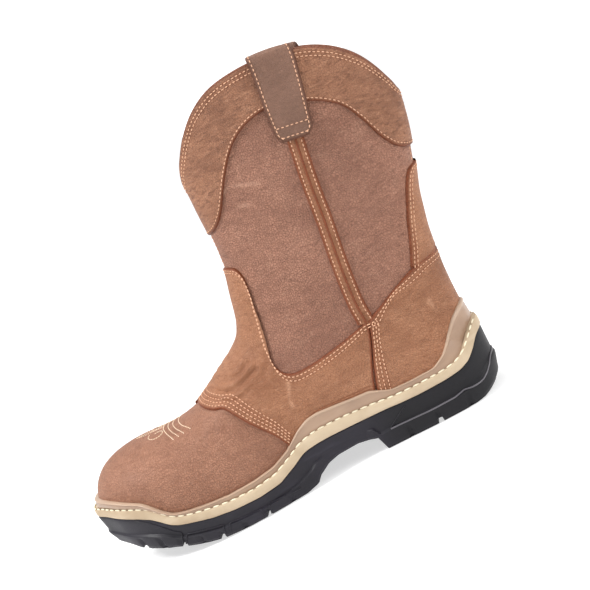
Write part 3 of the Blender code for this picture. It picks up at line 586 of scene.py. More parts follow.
def skin(row, turn, offset=0.0, worn=True):
    """Metre points of the worn outer face, moved outwards by an offset in millimetres."""
    row, turn = np.broadcast_arrays(np.asarray(row, float), np.asarray(turn, float))
    turn = wrapped(turn)
    here = skin_point(row, turn)
    step, last = 0.02, len(RINGS) - 1.0

    def beside(t):
        t = np.where((row >= HEEL_RING) & (np.abs(t) > 1), t - 2 * np.sign(t), t)
        return skin_point(row, np.clip(t, -1, 1))

    across = beside(turn + step) - beside(turn - step)
    upwards = skin_point(np.minimum(row + step, last), turn) - skin_point(np.maximum(row - step, 0), turn)
    normal = np.cross(across, upwards)
    normal /= np.maximum(1e-9, np.linalg.norm(normal, axis=-1, keepdims=True))
    push = np.asarray(offset, float) + (relief(here) if worn else 0.0)
    moved = here + normal * np.broadcast_to(push, row.shape)[..., None]
    return place(moved[..., 0], moved[..., 1], moved[..., 2])


def locate(points):
    """(row, turn) pairs, turn above 0, of points seen from the side."""
    p = np.asarray(points, float)
    low, high = np.zeros(len(p)), np.full(len(p), len(RINGS) - 1.0)
    for _ in range(42):
        middle = (low + high) / 2
        bx, bz, tx, tz = ring_ends(middle)
        inside = (tx - bx) * (p[:, 1] - bz) - (tz - bz) * (p[:, 0] - bx) > 0
        low, high = np.where(inside, middle, low), np.where(inside, high, middle)
    bx, bz, tx, tz = ring_ends(low)
    run = (tx - bx) ** 2 + (tz - bz) ** 2
    share = ((p[:, 0] - bx) * (tx - bx) + (p[:, 1] - bz) * (tz - bz)) / run
    return np.stack([low, np.arccos(2 * np.clip(share, 0, 1) - 1) / np.pi], 1)


collar_line = dense(COLLAR, 240)[::-1]


def collar_row(turn):
    """Row where the line of one turn reaches the collar's edge."""
    turn = np.asarray(turn, float)
    low, high = np.full(turn.shape, SHAFT_RING * 1.0), np.full(turn.shape, len(RINGS) - 1.0)
    for _ in range(36):
        middle = (low + high) / 2
        p = skin_point(middle, turn)
        under = p[..., 2] < np.interp(p[..., 0], collar_line[:, 0], collar_line[:, 1])
        low, high = np.where(under, middle, low), np.where(under, high, middle)
    return low


print("ball width", round(float(half_width(222, -1) + half_width(222, 1)), 1), "mm")

# %% [markdown]
# Every piece ends as a plain mesh whose object sits at the origin. A grid of
# points with quads between them is the natural mesh for a sheet of leather, and a
# second grid below it with a rim gives the sheet its thickness. Attributes go with
# it: how far a point is from the sheet's cut edge and from the nearest row of
# stitches, so that the finish can darken there with burnt edges and painted
# shade, and how much it has been rubbed.

# %% Turn points into meshes
def grid_faces(rows, columns, first=0, wrap=False):
    i, j = np.meshgrid(np.arange(rows - 1), np.arange(columns if wrap else columns - 1), indexing="ij")
    k = (j + 1) % columns
    a, b = first + i * columns, first + (i + 1) * columns
    return np.stack([a + j, a + k, b + k, b + j], -1).reshape(-1, 4)


def slab_faces(rows, columns):
    """Faces of two grids, one under the other, with a rim all round."""
    size = rows * columns
    faces = [grid_faces(rows, columns), grid_faces(rows, columns, size)[:, ::-1]]
    rim = []
    for k in (0, columns - 1):
        line = np.arange(rows) * columns + k
        rim.append((line, line + size, k == 0))
    for i in (0, rows - 1):
        line = i * columns + np.arange(columns)
        rim.append((line, line + size, i != 0))
    for up, down, flip in rim:
        quads = np.stack([up[:-1], up[1:], down[1:], down[:-1]], 1)
        faces.append(quads[:, ::-1] if flip else quads)
    return np.concatenate(faces)


def new_piece(name, points, faces, finishes, marks=None, sharp=40.0):
    """A smooth-shaded mesh object from points and faces, with named point values."""
    mesh = bpy.data.meshes.new(name)
    corners = [tuple(map(int, f)) for f in faces]
    mesh.from_pydata(np.asarray(points).reshape(-1, 3).tolist(), [], corners)
    for mark, values in (marks or {}).items():
        layer = mesh.attributes.new(mark, "FLOAT", "POINT")
        layer.data.foreach_set("value", np.asarray(values, np.float32).ravel())
    for finish in finishes:
        mesh.materials.append(finish)
    piece = bpy.data.objects.new(name, mesh)
    scene.collection.objects.link(piece)
    smooth_off(mesh, sharp)
    return piece


def smooth_off(mesh, sharp):
    mesh.shade_smooth()
    mesh.set_sharp_from_angle(angle=math.radians(sharp))


def merge(piece, distance=0.00001):
    """Joins points that coincide, then turns every face outwards."""
    bm = bmesh.new()
    bm.from_mesh(piece.data)
    bmesh.ops.remove_doubles(bm, verts=bm.verts, dist=distance)
    bmesh.ops.recalc_face_normals(bm, faces=bm.faces)
    bm.to_mesh(piece.data)
    bm.free()


def settle(piece):
    """Applies a piece's modifiers, so that only its mesh is left."""
    graph = bpy.context.evaluated_depsgraph_get()
    made = bpy.data.meshes.new_from_object(piece.evaluated_get(graph))
    piece.modifiers.clear()
    old, piece.data = piece.data, made
    bpy.data.meshes.remove(old)
    made.name = piece.name
    return piece


def line_piece(name, lines):
    """An object whose mesh is only the edges of some lines."""
    points, edges, first = [], [], 0
    for line in lines:
        points += np.asarray(line).tolist()
        edges += [(first + i, first + i + 1) for i in range(len(line) - 1)]
        first += len(line)
    mesh = bpy.data.meshes.new(name)
    mesh.from_pydata(points, edges, [])
    piece = bpy.data.objects.new(name, mesh)
    scene.collection.objects.link(piece)
    return piece


def grow(piece, tree, values):
    """Runs a Geometry Nodes tree on a piece, with its named inputs, and keeps the mesh."""
    grown = piece.modifiers.new("grown", "NODES")
    grown.node_group = tree
    for item in tree.interface.items_tree:
        if item.in_out == "INPUT" and item.name in values:
            grown[item.identifier] = values[item.name]
    return settle(piece)


def hand_over(piece, slot, *nodes):
    """Makes a piece ride with the boot and stand for its CAD nodes."""
    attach(piece, "root")
    if nodes:
        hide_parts(*nodes)
    size = sum(len(f.vertices) - 2 for f in piece.data.polygons)
    print(piece.name, "has", size, "triangles")
    return piece


# %% [markdown]
# A material is a small sum of patterns. Written node by node that is long to read,
# so one class wraps a socket and lets Python's own operators add the Math nodes.
# What changes over the surface feeds only colour, roughness and bump, which can be
# baked later. Everything else is a plain number on the shader.

# %% Write shader maths as expressions
class Signal:
    """A socket that can be added, multiplied and compared like a number."""

    def __init__(self, paint, socket):
        self.paint, self.socket = paint, socket

    def math(self, operation, *values):
        node = self.paint.node("ShaderNodeMath", {"operation": operation}, dict(enumerate(values)))
        return Signal(self.paint, node.outputs[0])

    def __add__(self, other):
        return self.math("ADD", self, other)

    def __sub__(self, other):
        return self.math("SUBTRACT", self, other)

    def __rsub__(self, other):
        return self.math("SUBTRACT", other, self)

    def __mul__(self, other):
        return self.math("MULTIPLY", self, other)

    __radd__, __rmul__ = __add__, __mul__

    def between(self, low, high):
        """0 below low and 1 above high, softly between; low may be above high."""
        node = self.paint.node(
            "ShaderNodeMapRange", {"interpolation_type": "SMOOTHSTEP"},
            {"Value": self, "From Min": low, "From Max": high},
        )
        return Signal(self.paint, node.outputs[0])


class Paint:
    """Builds one material's nodes."""

    def __init__(self, name):
        self.material = bpy.data.materials.new(name)
        self.material.use_nodes = True
        self.tree = self.material.node_tree
        self.shader = self.tree.nodes["Principled BSDF"]
        self.coords = Signal(self, self.node("ShaderNodeTexCoord", {}, {}).outputs["Object"])

    def node(self, kind, settings, sockets):
        made = self.tree.nodes.new(kind)
        for key, value in settings.items():
            setattr(made, key, value)
        for key, value in sockets.items():
            socket = made.inputs[key]
            if isinstance(value, Signal):
                self.tree.links.new(value.socket, socket)
            else:
                socket.default_value = value
        return made

    def spread(self, scale, turn=(0, 0, 0)):
        """The object's coordinates, stretched by a scale on each axis."""
        node = self.node("ShaderNodeMapping", {}, {"Vector": self.coords, "Scale": scale, "Rotation": turn})
        return Signal(self, node.outputs[0])

    def noise(self, where, scale, detail=3.0, rough=0.55, warp=0.0):
        node = self.node(
            "ShaderNodeTexNoise", {},
            {"Vector": where, "Scale": scale, "Detail": detail, "Roughness": rough, "Distortion": warp},
        )
        return Signal(self, node.outputs[0])

    def cells(self, where, scale, feature="DISTANCE_TO_EDGE", wander=1.0):
        node = self.node(
            "ShaderNodeTexVoronoi", {"feature": feature},
            {"Vector": where, "Scale": scale, "Randomness": wander},
        )
        return Signal(self, node.outputs["Distance"])

    def bend(self, where, amount, scale):
        """Coordinates pushed about by noise, so that a pattern wanders."""
        noise = self.node("ShaderNodeTexNoise", {}, {"Vector": where, "Scale": scale, "Detail": 2.0})
        shift = self.node(
            "ShaderNodeVectorMath", {"operation": "MULTIPLY_ADD"},
            {0: Signal(self, noise.outputs["Color"]), 1: (amount,) * 3, 2: where},
        )
        return Signal(self, shift.outputs[0])

    def mark(self, name):
        return Signal(self, self.node("ShaderNodeAttribute", {"attribute_name": name}, {}).outputs["Fac"])

    def mix(self, first, second, share):
        """The first colour where the share is 0 and the second where it is 1."""
        sockets = {"Factor": share, 6: first, 7: second}
        return Signal(self, self.node("ShaderNodeMix", {"data_type": "RGBA"}, sockets).outputs[2])

    def finish(self, colour, rough, heights, **fixed):
        """Joins colour, roughness and bumps, each (height, millimetres), to the shader."""
        bump = None
        for height, deep in heights:
            sockets = {"Height": height, "Distance": deep * MM, "Strength": 1.0}
            if bump:
                sockets["Normal"] = bump
            bump = Signal(self, self.node("ShaderNodeBump", {}, sockets).outputs[0])
        for key, value in (("Base Color", colour), ("Roughness", rough), ("Normal", bump)):
            if isinstance(value, Signal):
                self.tree.links.new(value.socket, self.shader.inputs[key])
            elif value is not None:
                self.shader.inputs[key].default_value = value
        for key, value in fixed.items():
            self.shader.inputs[key.replace("_", " ")].default_value = value
        return self.material


def srgb(red, green, blue):
    """A colour given as on a screen, 0 to 255, turned into light."""
    light = [((c / 255 + 0.055) / 1.055) ** 2.4 if c > 10 else c / 255 / 12.92 for c in (red, green, blue)]
    return (*light, 1.0)


# %% [markdown]
# Oiled leather is never one brown. Large soft clouds come from the hide, a small
# pebble grain from its pores, with painted shade in its valleys, fine wrinkles run
# across the pull of the last, and cut edges are rubbed and burnt darker, with
# painted shade along them and along the rows of stitches. The shaft is a pebbled
# mauve brown, the saddle and counter are a smoother orange tan, and toe, cuff and
# straps have tones of their own, so one recipe takes the colours and the strength
# of each grain.

# %% Mix the leathers
def leather_finish(name, base, deep, pale, edge, pebble, wrinkle, sheen, scuff):
    """Four colours, the last for burnt edges with painted shade there and along the stitches, then how
    strong the pebbles, wrinkles, sheen and hair scuffs are.
    """
    p = Paint(name)
    near = p.mark("edge")
    row = p.mark("thread")
    wander = p.bend(p.coords, 0.006, 60.0)
    cloud = p.noise(p.coords, 16.0, 4.0, 0.6)
    patch = p.noise(p.coords, 55.0, 3.0, 0.6, 0.6)
    speck = p.noise(p.coords, 900.0, 2.0)
    grain = p.cells(wander, 620.0).between(0.0, 0.16)
    small = p.cells(p.coords, 1300.0).between(0.0, 0.25)
    lines = p.noise(p.bend(p.spread((200, 200, 560)), 1.4, 0.5), 1.0, 3.0, 0.6)
    folds = p.noise(p.bend(p.spread((34, 34, 105), (0, 0.35, 0)), 0.8, 0.6), 1.0, 2.0)
    hair = p.noise(p.bend(p.spread((30, 30, 240), (0, 0.9, 0)), 0.5, 0.4), 1.0, 2.0).between(0.6, 0.82)
    colour = p.mix(deep, base, cloud.between(0.25, 0.6))
    colour = p.mix(colour, pale, patch.between(0.5, 0.8) * 0.4)
    # Painted shade: the valleys between the pebbles are darkened towards the deep colour.
    colour = p.mix(colour, p.mix(colour, deep, 0.9), (1 - grain) * (pebble * 0.6) + (1 - small) * 0.2)
    colour = p.mix(colour, deep, lines.between(0.5, 0.68) * (wrinkle * 0.6))
    colour = p.mix(colour, pale, lines.between(0.42, 0.3) * (wrinkle * 0.25))
    colour = p.mix(colour, deep, folds.between(0.52, 0.7) * (wrinkle * 0.4))
    colour = p.mix(colour, pale, speck.between(0.55, 0.8) * 0.16)
    colour = p.mix(colour, pale, hair * cloud.between(0.45, 0.6) * scuff)
    colour = p.mix(colour, pale, p.mark("rub") * patch.between(0.3, 0.6) * 0.85)
    # Burnt edges plus painted shade: within about 2 mm of a cut edge the leather darkens towards the edge
    # colour.
    colour = p.mix(colour, edge, near.between(2.1, 0.7) * 0.94)
    # Painted shade: along each row of stitches the colour darkens, as in a dented stitch groove.
    colour = p.mix(colour, p.mix(colour, edge, 0.6), row.between(1.0, 0.2) * 0.75)
    rough = 0.58 + 0.14 * patch - sheen * cloud - 0.1 * near.between(1.6, 0.2)
    heights = [
        (folds, 0.9 * wrinkle + 0.2),
        (lines, 0.8 * wrinkle + 0.15),
        (grain, 0.42 * pebble + 0.05),
        (small * 0.7 + speck * 0.5, 0.07),
    ]
    return p.finish(colour, rough, heights, Coat_Weight=0.06, Coat_Roughness=0.4, Specular_IOR_Level=0.42)


shaft_leather = leather_finish(
    "pebbled shaft leather", srgb(169, 119, 96), srgb(130, 86, 67), srgb(189, 143, 119),
    srgb(120, 60, 28),
    pebble=1.0, wrinkle=1.1, sheen=0.10, scuff=0.16,
)
tan_leather = leather_finish(
    "oiled tan leather", srgb(173, 119, 85), srgb(138, 87, 56), srgb(194, 143, 110),
    srgb(124, 58, 22),
    pebble=0.7, wrinkle=1.1, sheen=0.16, scuff=0.3,
)
toe_leather = leather_finish(
    "tan toe leather", srgb(166, 116, 90), srgb(138, 91, 67), srgb(191, 140, 113),
    srgb(118, 58, 26),
    pebble=1.0, wrinkle=1.1, sheen=0.18, scuff=0.2,
)
cuff_leather = leather_finish(
    "crinkled cuff leather", srgb(164, 113, 83), srgb(120, 76, 52), srgb(194, 143, 111),
    srgb(114, 56, 24),
    pebble=0.6, wrinkle=1.5, sheen=0.12, scuff=0.5,
)
strap_leather = leather_finish(
    "napped strap leather", srgb(132, 96, 78), srgb(105, 74, 58), srgb(155, 118, 98),
    srgb(92, 52, 31),
    pebble=0.4, wrinkle=0.8, sheen=0.05, scuff=0.6,
)


# %% [markdown]
# The lining is a dull black weave, rubber is a smooth surface with faint clouds and
# smears from the mould, and thread has a twist. Each is a few lines of the same
# kind as the leather. The outsole is darkened at its heel end with painted shade,
# and the rand's lip and the heel rib are painted paler as a highlight.

# %% Mix the lining, rubbers and threads
def cloth_finish(name, base, pale):
    p = Paint(name)
    weave = p.noise(p.spread((1500, 1500, 1500)), 1.0, 1.0)
    knit = p.cells(p.coords, 900.0, "F1", 0.3)
    colour = p.mix(base, pale, weave.between(0.4, 0.75) * 0.7)
    return p.finish(colour, 0.95, [(knit, 0.25), (weave, 0.2)], Specular_IOR_Level=0.2)


def rubber_finish(name, base, dark, pale, rough, mottled, coat=0.0, heel=0.0, shine=0.5):
    """Three colours, how rough and mottled it is, and how much painted shade darkens the heel end; a marked
    lip gets a painted highlight.
    """
    p = Paint(name)
    along = Signal(p, p.node("ShaderNodeSeparateXYZ", {}, {0: p.coords}).outputs[0])
    cloud = p.noise(p.coords, 26.0, 4.0)
    fine = p.noise(p.coords, 700.0, 3.0)
    smear = p.noise(p.bend(p.spread((30, 30, 140)), 0.6, 0.6), 1.0, 3.0)
    colour = p.mix(dark, base, cloud.between(0.3, 0.62))
    colour = p.mix(colour, pale, smear.between(0.52, 0.78) * mottled)
    # Painted highlight: the rand's raised lip is painted paler.
    colour = p.mix(colour, pale, p.mark("painted_lip_highlight") * 0.45)
    # Painted shade: towards the heel end the rubber darkens to a third of the dark colour, by the heel
    # share.
    colour = p.mix(colour, tuple(0.35 * c for c in dark[:3]) + (1.0,), along.between(0.03, 0.07) * heel)
    rough = rough + 0.16 * fine + 0.08 * smear
    gloss = {"Coat_Weight": coat, "Coat_Roughness": 0.25, "Specular_IOR_Level": shine}
    return p.finish(colour, rough, [(fine, 0.05), (cloud, 0.15)], **gloss)


def thread_finish(name, base, dark):
    p = Paint(name)
    twist = p.noise(p.coords, 1500.0, 2.0)
    soil = p.noise(p.coords, 30.0, 3.0)
    colour = p.mix(base, dark, twist.between(0.45, 0.75) * 0.5 + soil.between(0.5, 0.8) * 0.4)
    return p.finish(colour, 0.8, [(twist, 0.12)])


lining = cloth_finish("black lining", srgb(38, 38, 42), srgb(66, 66, 70))
footbed = cloth_finish("black footbed", srgb(34, 34, 38), srgb(56, 56, 60))
# The outsole gets painted shade at its heel end (heel=0.85).
outsole_rubber = rubber_finish(
    "charcoal rubber", srgb(34, 31, 40), srgb(25, 23, 30), srgb(54, 51, 62),
    rough=0.44, mottled=0.45, coat=0.05, heel=0.85, shine=0.3,
)
# Painted highlight: the heel rib is the outsole's own rubber, painted paler where its gloss catches the
# light.
rib_rubber_painted_highlight = rubber_finish(
    "glossy rib rubber with painted highlight", srgb(92, 88, 94), srgb(70, 67, 72), srgb(120, 116, 122),
    rough=0.22, mottled=0.3, coat=0.3,
)
welt_rubber = rubber_finish(
    "cream welt", srgb(196, 176, 148), srgb(172, 150, 122), srgb(210, 194, 168),
    rough=0.5, mottled=0.4,
)
rand_rubber = rubber_finish(
    "taupe rand", srgb(166, 136, 112), srgb(150, 121, 99), srgb(196, 170, 147),
    rough=0.32, mottled=0.25, coat=0.25,
)
peach_thread = thread_finish("peach thread", srgb(222, 174, 142), srgb(188, 136, 104))
pale_thread = thread_finish("pale welt thread", srgb(238, 228, 200), srgb(206, 192, 160))
cream_thread = thread_finish("cream toe thread", srgb(242, 222, 196), srgb(222, 192, 160))
print("materials:", len(bpy.data.materials))

# %% [markdown]
# The upper itself is the shaft, the quarters and the plain toe. It is one open
# sheet, with a Solidify modifier for the leather's thickness, whose inner side
# takes the black lining. The toe is a different leather, so the faces in front of
# the saddle get the second finish.

# %% Make the upper
UPPER_COLUMNS, SHAFT_ROWS = 145, 66
NO_EDGE, NO_SEAM = 9.0, 99
# Where the two seams of the shaft run, and where the toe leather lies.
FRONT_SEAM_FROM, BACK_SEAM_TO, SEAMS_ABOVE = 110, 20, 120
TOE_FROM, TOE_UNDER, TOE_LAP = 150, 95, 6


def make_upper():
    columns = UPPER_COLUMNS
    turns = np.linspace(-1, 1, columns)
    foot = np.arange(0, SHAFT_RING, 0.2)
    tops = collar_row(-np.abs(turns))
    shaft = SHAFT_RING + (tops[None, :] - SHAFT_RING) * np.linspace(0, 1, SHAFT_ROWS)[:, None]
    rows = np.concatenate([np.repeat(foot[:, None], columns, 1), shaft])
    grid = np.broadcast_to(turns, rows.shape)
    points = skin(rows, grid)
    plain = skin_point(rows, grid)
    front_seam = np.abs(plain[..., 1]) + np.where(plain[..., 0] > FRONT_SEAM_FROM, 0, NO_SEAM)
    back_seam = np.abs(plain[..., 1]) + np.where(plain[..., 0] < BACK_SEAM_TO, 0, NO_SEAM)
    seam = np.minimum(front_seam, back_seam) + NO_SEAM * (plain[..., 2] < SEAMS_ABOVE)
    piece = new_piece(
        "upper_leather", points, grid_faces(*rows.shape),
        [shaft_leather, toe_leather, lining],
        {
            # The edge and thread marks darken the finish by the shaft's seams: burnt edges with painted
            # shade, and painted shade along the stitches.
            "edge": np.minimum(NO_EDGE, 0.9 + 1.6 * seam),
            "thread": np.minimum(NO_EDGE, np.abs(seam - 3.0)),
            "rub": rubbed(plain),
        },
    )
    front = np.array(SADDLE_FRONT_EDGE)[::-1]
    centres = plain[:-1, :-1].reshape(-1, 3)
    toe = centres[:, 0] > np.interp(centres[:, 2], front[:, 1], front[:, 0]) - TOE_LAP
    toe &= (centres[:, 2] < TOE_UNDER) & (centres[:, 0] > TOE_FROM)
    piece.data.polygons.foreach_set("material_index", toe.astype(np.int32))
    merge(piece)
    wall = piece.modifiers.new("wall", "SOLIDIFY")
    wall.thickness, wall.offset, wall.use_even_offset = WALL * MM, -1.0, True
    wall.material_offset = 2
    settle(piece)
    return hand_over(piece, "pebbled leather", "upper")


make_upper()

# %% [markdown]
# Saddle, counter, back strip, cuff and seam strips are sheets sewn over the upper.
# Each lies between two edges drawn in the side view. Lines join the two edges
# across the leather, and points are set on them closer together near the cut edge,
# where the leather is rounded over, than in the middle. The same lines give the
# rows of stitches: a row is simply a distance in from an edge.

# %% Lay a sheet of leather between two edges
# Edges sharper than CUT_SHARP degrees stay sharp. A row of stitches dents the sheet,
# and a cut edge is rounded over. EDGE_STEPS are distances in from an edge.
CUT_SHARP = 60.0
DENT, DENT_HALF = 0.2, 0.55
ROUND_OFF = 1.1
EDGE_STEPS = (0.0, 0.1, 0.3, 0.6, 1.0, 1.5, 2.1, 2.8, 3.5, 4.2, 4.9, 5.6, 6.4, 7.3, 8.4)


class Sheet:
    """Leather between edge a and edge b, each an array of (row, turn) with signed turns."""

    def __init__(self, a, b, thick=OVERLAY, lift=SEAT, ends=True, b_edge=True, middle=None):
        self.a, self.b = a, b
        self.middle = (a + b) / 2 if middle is None else middle
        self.thick, self.lift, self.ends, self.b_edge = thick, lift, ends, b_edge
        t = np.linspace(0, 1, 25)[None, :]
        probe = skin(*self.between(np.arange(len(a))[:, None] + 0 * t, t), worn=False)
        self.wide = np.linalg.norm(np.diff(probe, axis=1), axis=2).sum(1) / MM
        middle = probe[:, 12]
        steps = np.linalg.norm(np.diff(middle, axis=0), axis=1) / MM
        self.run = np.concatenate(([0], np.cumsum(steps)))

    def between(self, line, across):
        """Row and turn at a line's number and a share across, bowed through the middle."""
        where = np.arange(len(self.a))
        out = []
        for k in (0, 1):
            a, m, b = [np.interp(line, where, e[:, k]) for e in (self.a, self.middle, self.b)]
            near_a = a * (1 - across) * (1 - 2 * across)
            out.append(near_a + 4 * m * across * (1 - across) + b * across * (2 * across - 1))
        return out

    def at(self, along, across, offset, worn=True):
        """Metre points at a share along the edges and a share across."""
        row, turn = self.between(np.asarray(along, float) * (len(self.a) - 1), across)
        return skin(row, turn, offset, worn)

    def shares(self, count):
        """Places across each line: close together at both edges, even in the middle."""
        near = np.array(EDGE_STEPS)
        near = near[near < 0.42 * self.wide.min()]
        first = near[None, :] / self.wide[:, None]
        last = 1 - near[::-1][None, :] / self.wide[:, None]
        mid = np.linspace(0, 1, count + 2)[1:-1][None, :]
        gap = first[:, -1:] + (last[:, :1] - first[:, -1:]) * mid
        return np.concatenate([first, gap, last], 1)

    def row_of(self, distance, edge="a", start=0.0, end=1.0, spacing=0.9, offset=None):
        """A polyline at a distance in from an edge, lying on the sheet."""
        if edge in "ab":
            along = np.linspace(start, end, max(8, int(self.run[-1] * (end - start) / spacing)))
            share = distance / np.interp(along * (len(self.a) - 1), np.arange(len(self.a)), self.wide)
            across = share if edge == "a" else 1 - share
        else:
            across = np.linspace(start, end, max(8, int(self.wide[0] * (end - start) / spacing)))
            length = distance if edge == "start" else self.run[-1] - distance
            line = np.interp(length, self.run, np.arange(len(self.run)))
            along = np.full(across.shape, line / (len(self.a) - 1))
        high = self.lift + self.thick if offset is None else offset
        return self.at(along, across, high)

    def piece(self, name, finish, middle=30, rows=(), end_rows=(), round_off=ROUND_OFF):
        """The sheet as a mesh, rounded at its cut edges and dented along its rows of stitches."""
        across = self.shares(middle)
        row, turn = self.between(np.arange(len(self.a))[:, None] + 0 * across, across)
        from_a = across * self.wide[:, None]
        from_b = (1 - across) * self.wide[:, None]
        along = np.minimum(self.run, self.run[-1] - self.run)[:, None] + np.zeros_like(across)
        edge = from_a
        if self.b_edge:
            edge = np.minimum(edge, from_b)
        if self.ends:
            edge = np.minimum(edge, along)
        thread = np.full(edge.shape, NO_EDGE)
        for side, distance in rows:
            away = from_a if side == "a" else from_b
            thread = np.minimum(thread, np.abs(away - distance))
        for distance in end_rows:
            thread = np.minimum(thread, np.abs(along - distance))
        bulge = np.sqrt(np.maximum(0, 1 - (1 - np.clip(edge / round_off, 0, 1)) ** 2))
        high = self.lift + self.thick * bulge - DENT * np.exp(-((thread / DENT_HALF) ** 2))
        outer = skin(row, turn, high)
        inner = skin(row, turn, -0.1)
        faces = slab_faces(*row.shape)
        values = {"edge": edge, "thread": thread, "rub": rubbed(skin_point(row, wrapped(turn)))}
        marks = {mark: np.concatenate([value.ravel()] * 2) for mark, value in values.items()}
        points = np.concatenate([outer.reshape(-1, 3), inner.reshape(-1, 3)])
        made = new_piece(name, points, faces, [finish], marks, CUT_SHARP)
        merge(made)
        smooth_off(made.data, CUT_SHARP)
        return made


def both_sides(half, over_front):
    """A lateral line and its medial twin, joined over the front or round the back.
    Round the back the turn runs on past -1, so that it never jumps."""
    lateral = half * (1, -1)
    if over_front:
        return np.concatenate([lateral[::-1], half[1:]])
    return np.concatenate([lateral, half[::-1][1:] - (0, 2)])


def bowed(first, last, weight):
    """A middle line that looks halfway in the side view where the weight is 1."""
    plain = (locate(first) + locate(last)) / 2
    return plain + (locate((first + last) / 2) - plain) * weight[:, None]


def spaced(count, length, both=True):
    """Shares of a length with the edge's close steps at its ends."""
    near = np.array(EDGE_STEPS[:6]) / length
    last = 1 - near[::-1] if both else np.array([])
    inner = np.linspace(near[-1], last[0] if both else 1, count)[1:]
    return np.concatenate([near, inner[:-1] if both else inner, last])


def rand_line(first, last, count, drop=5.0):
    """The rand's top edge between two stations, lowered so that leather runs under it."""
    s = np.linspace(first, last, count)
    return np.stack([s, soft_line("rand", s, 2.0) - drop], 1)


# %% [markdown]
# The saddle wraps the instep: a tongue up the front, wings back to the counter, and
# a front edge cut in shallow scallops with four rows of stitches. Its upper edge has
# two rows. Both halves are one sheet, joined over the instep. The counter runs round
# the heel in the same way, so its turns go on past the back seam; the back strip is
# two halves that meet at the back seam. A thin ridge of piping stands in the middle
# of each side seam's strip.

# %% Make the saddle, counter, back strip and seam strips
seams = {"leather": [], "welt": [], "toe": []}

# Distances of the rows of stitches from a piece's edge.
TOP_ROWS = (2.4, 5.0)
FRONT_ROWS = (2.4, 4.7, 7.0, 9.3)
COUNTER_ROWS = (2.4, 4.9)
CORNER_ROWS = (2.4, 4.7, 7.0)
STRIP_ROWS = (2.3, 4.6)
CUFF_ROWS = (2.3, 4.7)
SEAM_ROW = 2.2
STRIP_HALF, PIPING_HALF = 5.9, 0.9


def beside(edge, distances):
    return tuple((edge, distance) for distance in distances)


share = spaced(150, 175.0, False)[::-1]
top = dense(SADDLE_TOP_EDGE, 1 - share)
front = np.concatenate([dense(SADDLE_FRONT_EDGE, 90), rand_line(SADDLE_CORNER, 84.4, 60)])
low = dense(front, 1 - share, curved=False)
bow = both_sides(bowed(top, low, ease(1 - share, 0.7, 0.98)), True)
saddle = Sheet(both_sides(locate(top), True), both_sides(locate(low), True), middle=bow)
piece = saddle.piece("saddle_leather", tan_leather, 46, beside("a", TOP_ROWS) + beside("b", FRONT_ROWS))
hand_over(piece, "leather", "saddle")
seams["leather"] += [saddle.row_of(d, "a", 0.006, 0.994) for d in TOP_ROWS]
seams["leather"] += [saddle.row_of(d, "b", 0.262, 0.738) for d in FRONT_ROWS]

share = spaced(90, 80.0, False)
top = dense(COUNTER_TOP_EDGE + ((2.0, 103.6),), share)
low = np.concatenate([rand_line(83.6, 6.0, 90), [(3.6, 59.0)]])
low = dense(low, share, False)
bow = both_sides(bowed(top, low, 1 - ease(share, 0.25, 0.8)), False)
counter = Sheet(both_sides(locate(top), False), both_sides(locate(low), False), b_edge=False, middle=bow)
piece = counter.piece("counter_leather", tan_leather, 30, beside("a", COUNTER_ROWS), CORNER_ROWS)
hand_over(piece, "leather", "heel_counter")
seams["leather"] += [counter.row_of(d, "a", 0.012, 0.988) for d in COUNTER_ROWS]
for d in CORNER_ROWS:
    for edge in ("start", "end"):
        seams["leather"].append(counter.row_of(d, edge, 0.06, 0.93))

side_edge = locate(dense(BACK_STRIP_EDGE + ((-14.6, 164.6),), spaced(60, 74.0)))
back_rows = locate([(1.0, 103.4), (-14.0, 164.6)])[:, 0]
back = np.stack([np.linspace(*back_rows, len(side_edge)), np.ones(len(side_edge))], 1)
for side, word in ((LATERAL, "lateral"), (MEDIAL, "medial")):
    strip = Sheet(side_edge * (1, side), back * (1, side), b_edge=False)
    piece = strip.piece("back_strip_" + word, tan_leather, 12, beside("a", STRIP_ROWS), (2.4,))
    hand_over(piece, "leather", *(["back_strip"] if side < 0 else []))
    seams["leather"] += [strip.row_of(d, "a", 0.02, 0.97) for d in STRIP_ROWS]

for side, word in ((LATERAL, "lateral"), (MEDIAL, "medial")):
    line = dense(SIDE_SEAM + ((66.9, 86.0),), spaced(90, 130.0, False))
    line = dense(np.concatenate([[(46.4, 232.0)], line]), 150, False)
    fore, rear = locate(line + (STRIP_HALF, 0)), locate(line - (STRIP_HALF, 0))
    strip = Sheet(fore * (1, side), rear * (1, side), thick=1.1, ends=False)
    piece = strip.piece("side_seam_strip_" + word, tan_leather, 6, (("a", SEAM_ROW), ("b", SEAM_ROW)))
    hand_over(piece, "leather", "side_seam_" + word)
    seams["leather"] += [strip.row_of(SEAM_ROW, e, 0.04, 0.985) for e in "ab"]
    fore, rear = locate(line + (PIPING_HALF, 0)), locate(line - (PIPING_HALF, 0))
    ridge = Sheet(fore * (1, side), rear * (1, side), thick=1.0, lift=1.2, ends=False)
    piece = ridge.piece("seam_piping_" + word, tan_leather, 3, round_off=0.7)
    hand_over(piece, "leather")


# %% [markdown]
# The cuff is a ring of leather round the collar, folded over its edge. It follows
# the scallop of the collar above and a deeper scallop below. Points past the edge
# roll over the upper's rim and turn down inside, so that no raw edge shows.

# %% Make the collar's cuff
# The roll over the rim in millimetres: how far outwards and how far up.
ROLL = (
    (1.75, 0.1), (1.55, 0.8), (1.0, 1.3), (0.2, 1.55), (-0.8, 1.6), (-1.7, 1.4),
    (-2.4, 0.9), (-2.75, 0.1), (-2.8, -1.2), (-2.7, -3.2), (-2.3, -3.5), (0.1, -3.4),
)


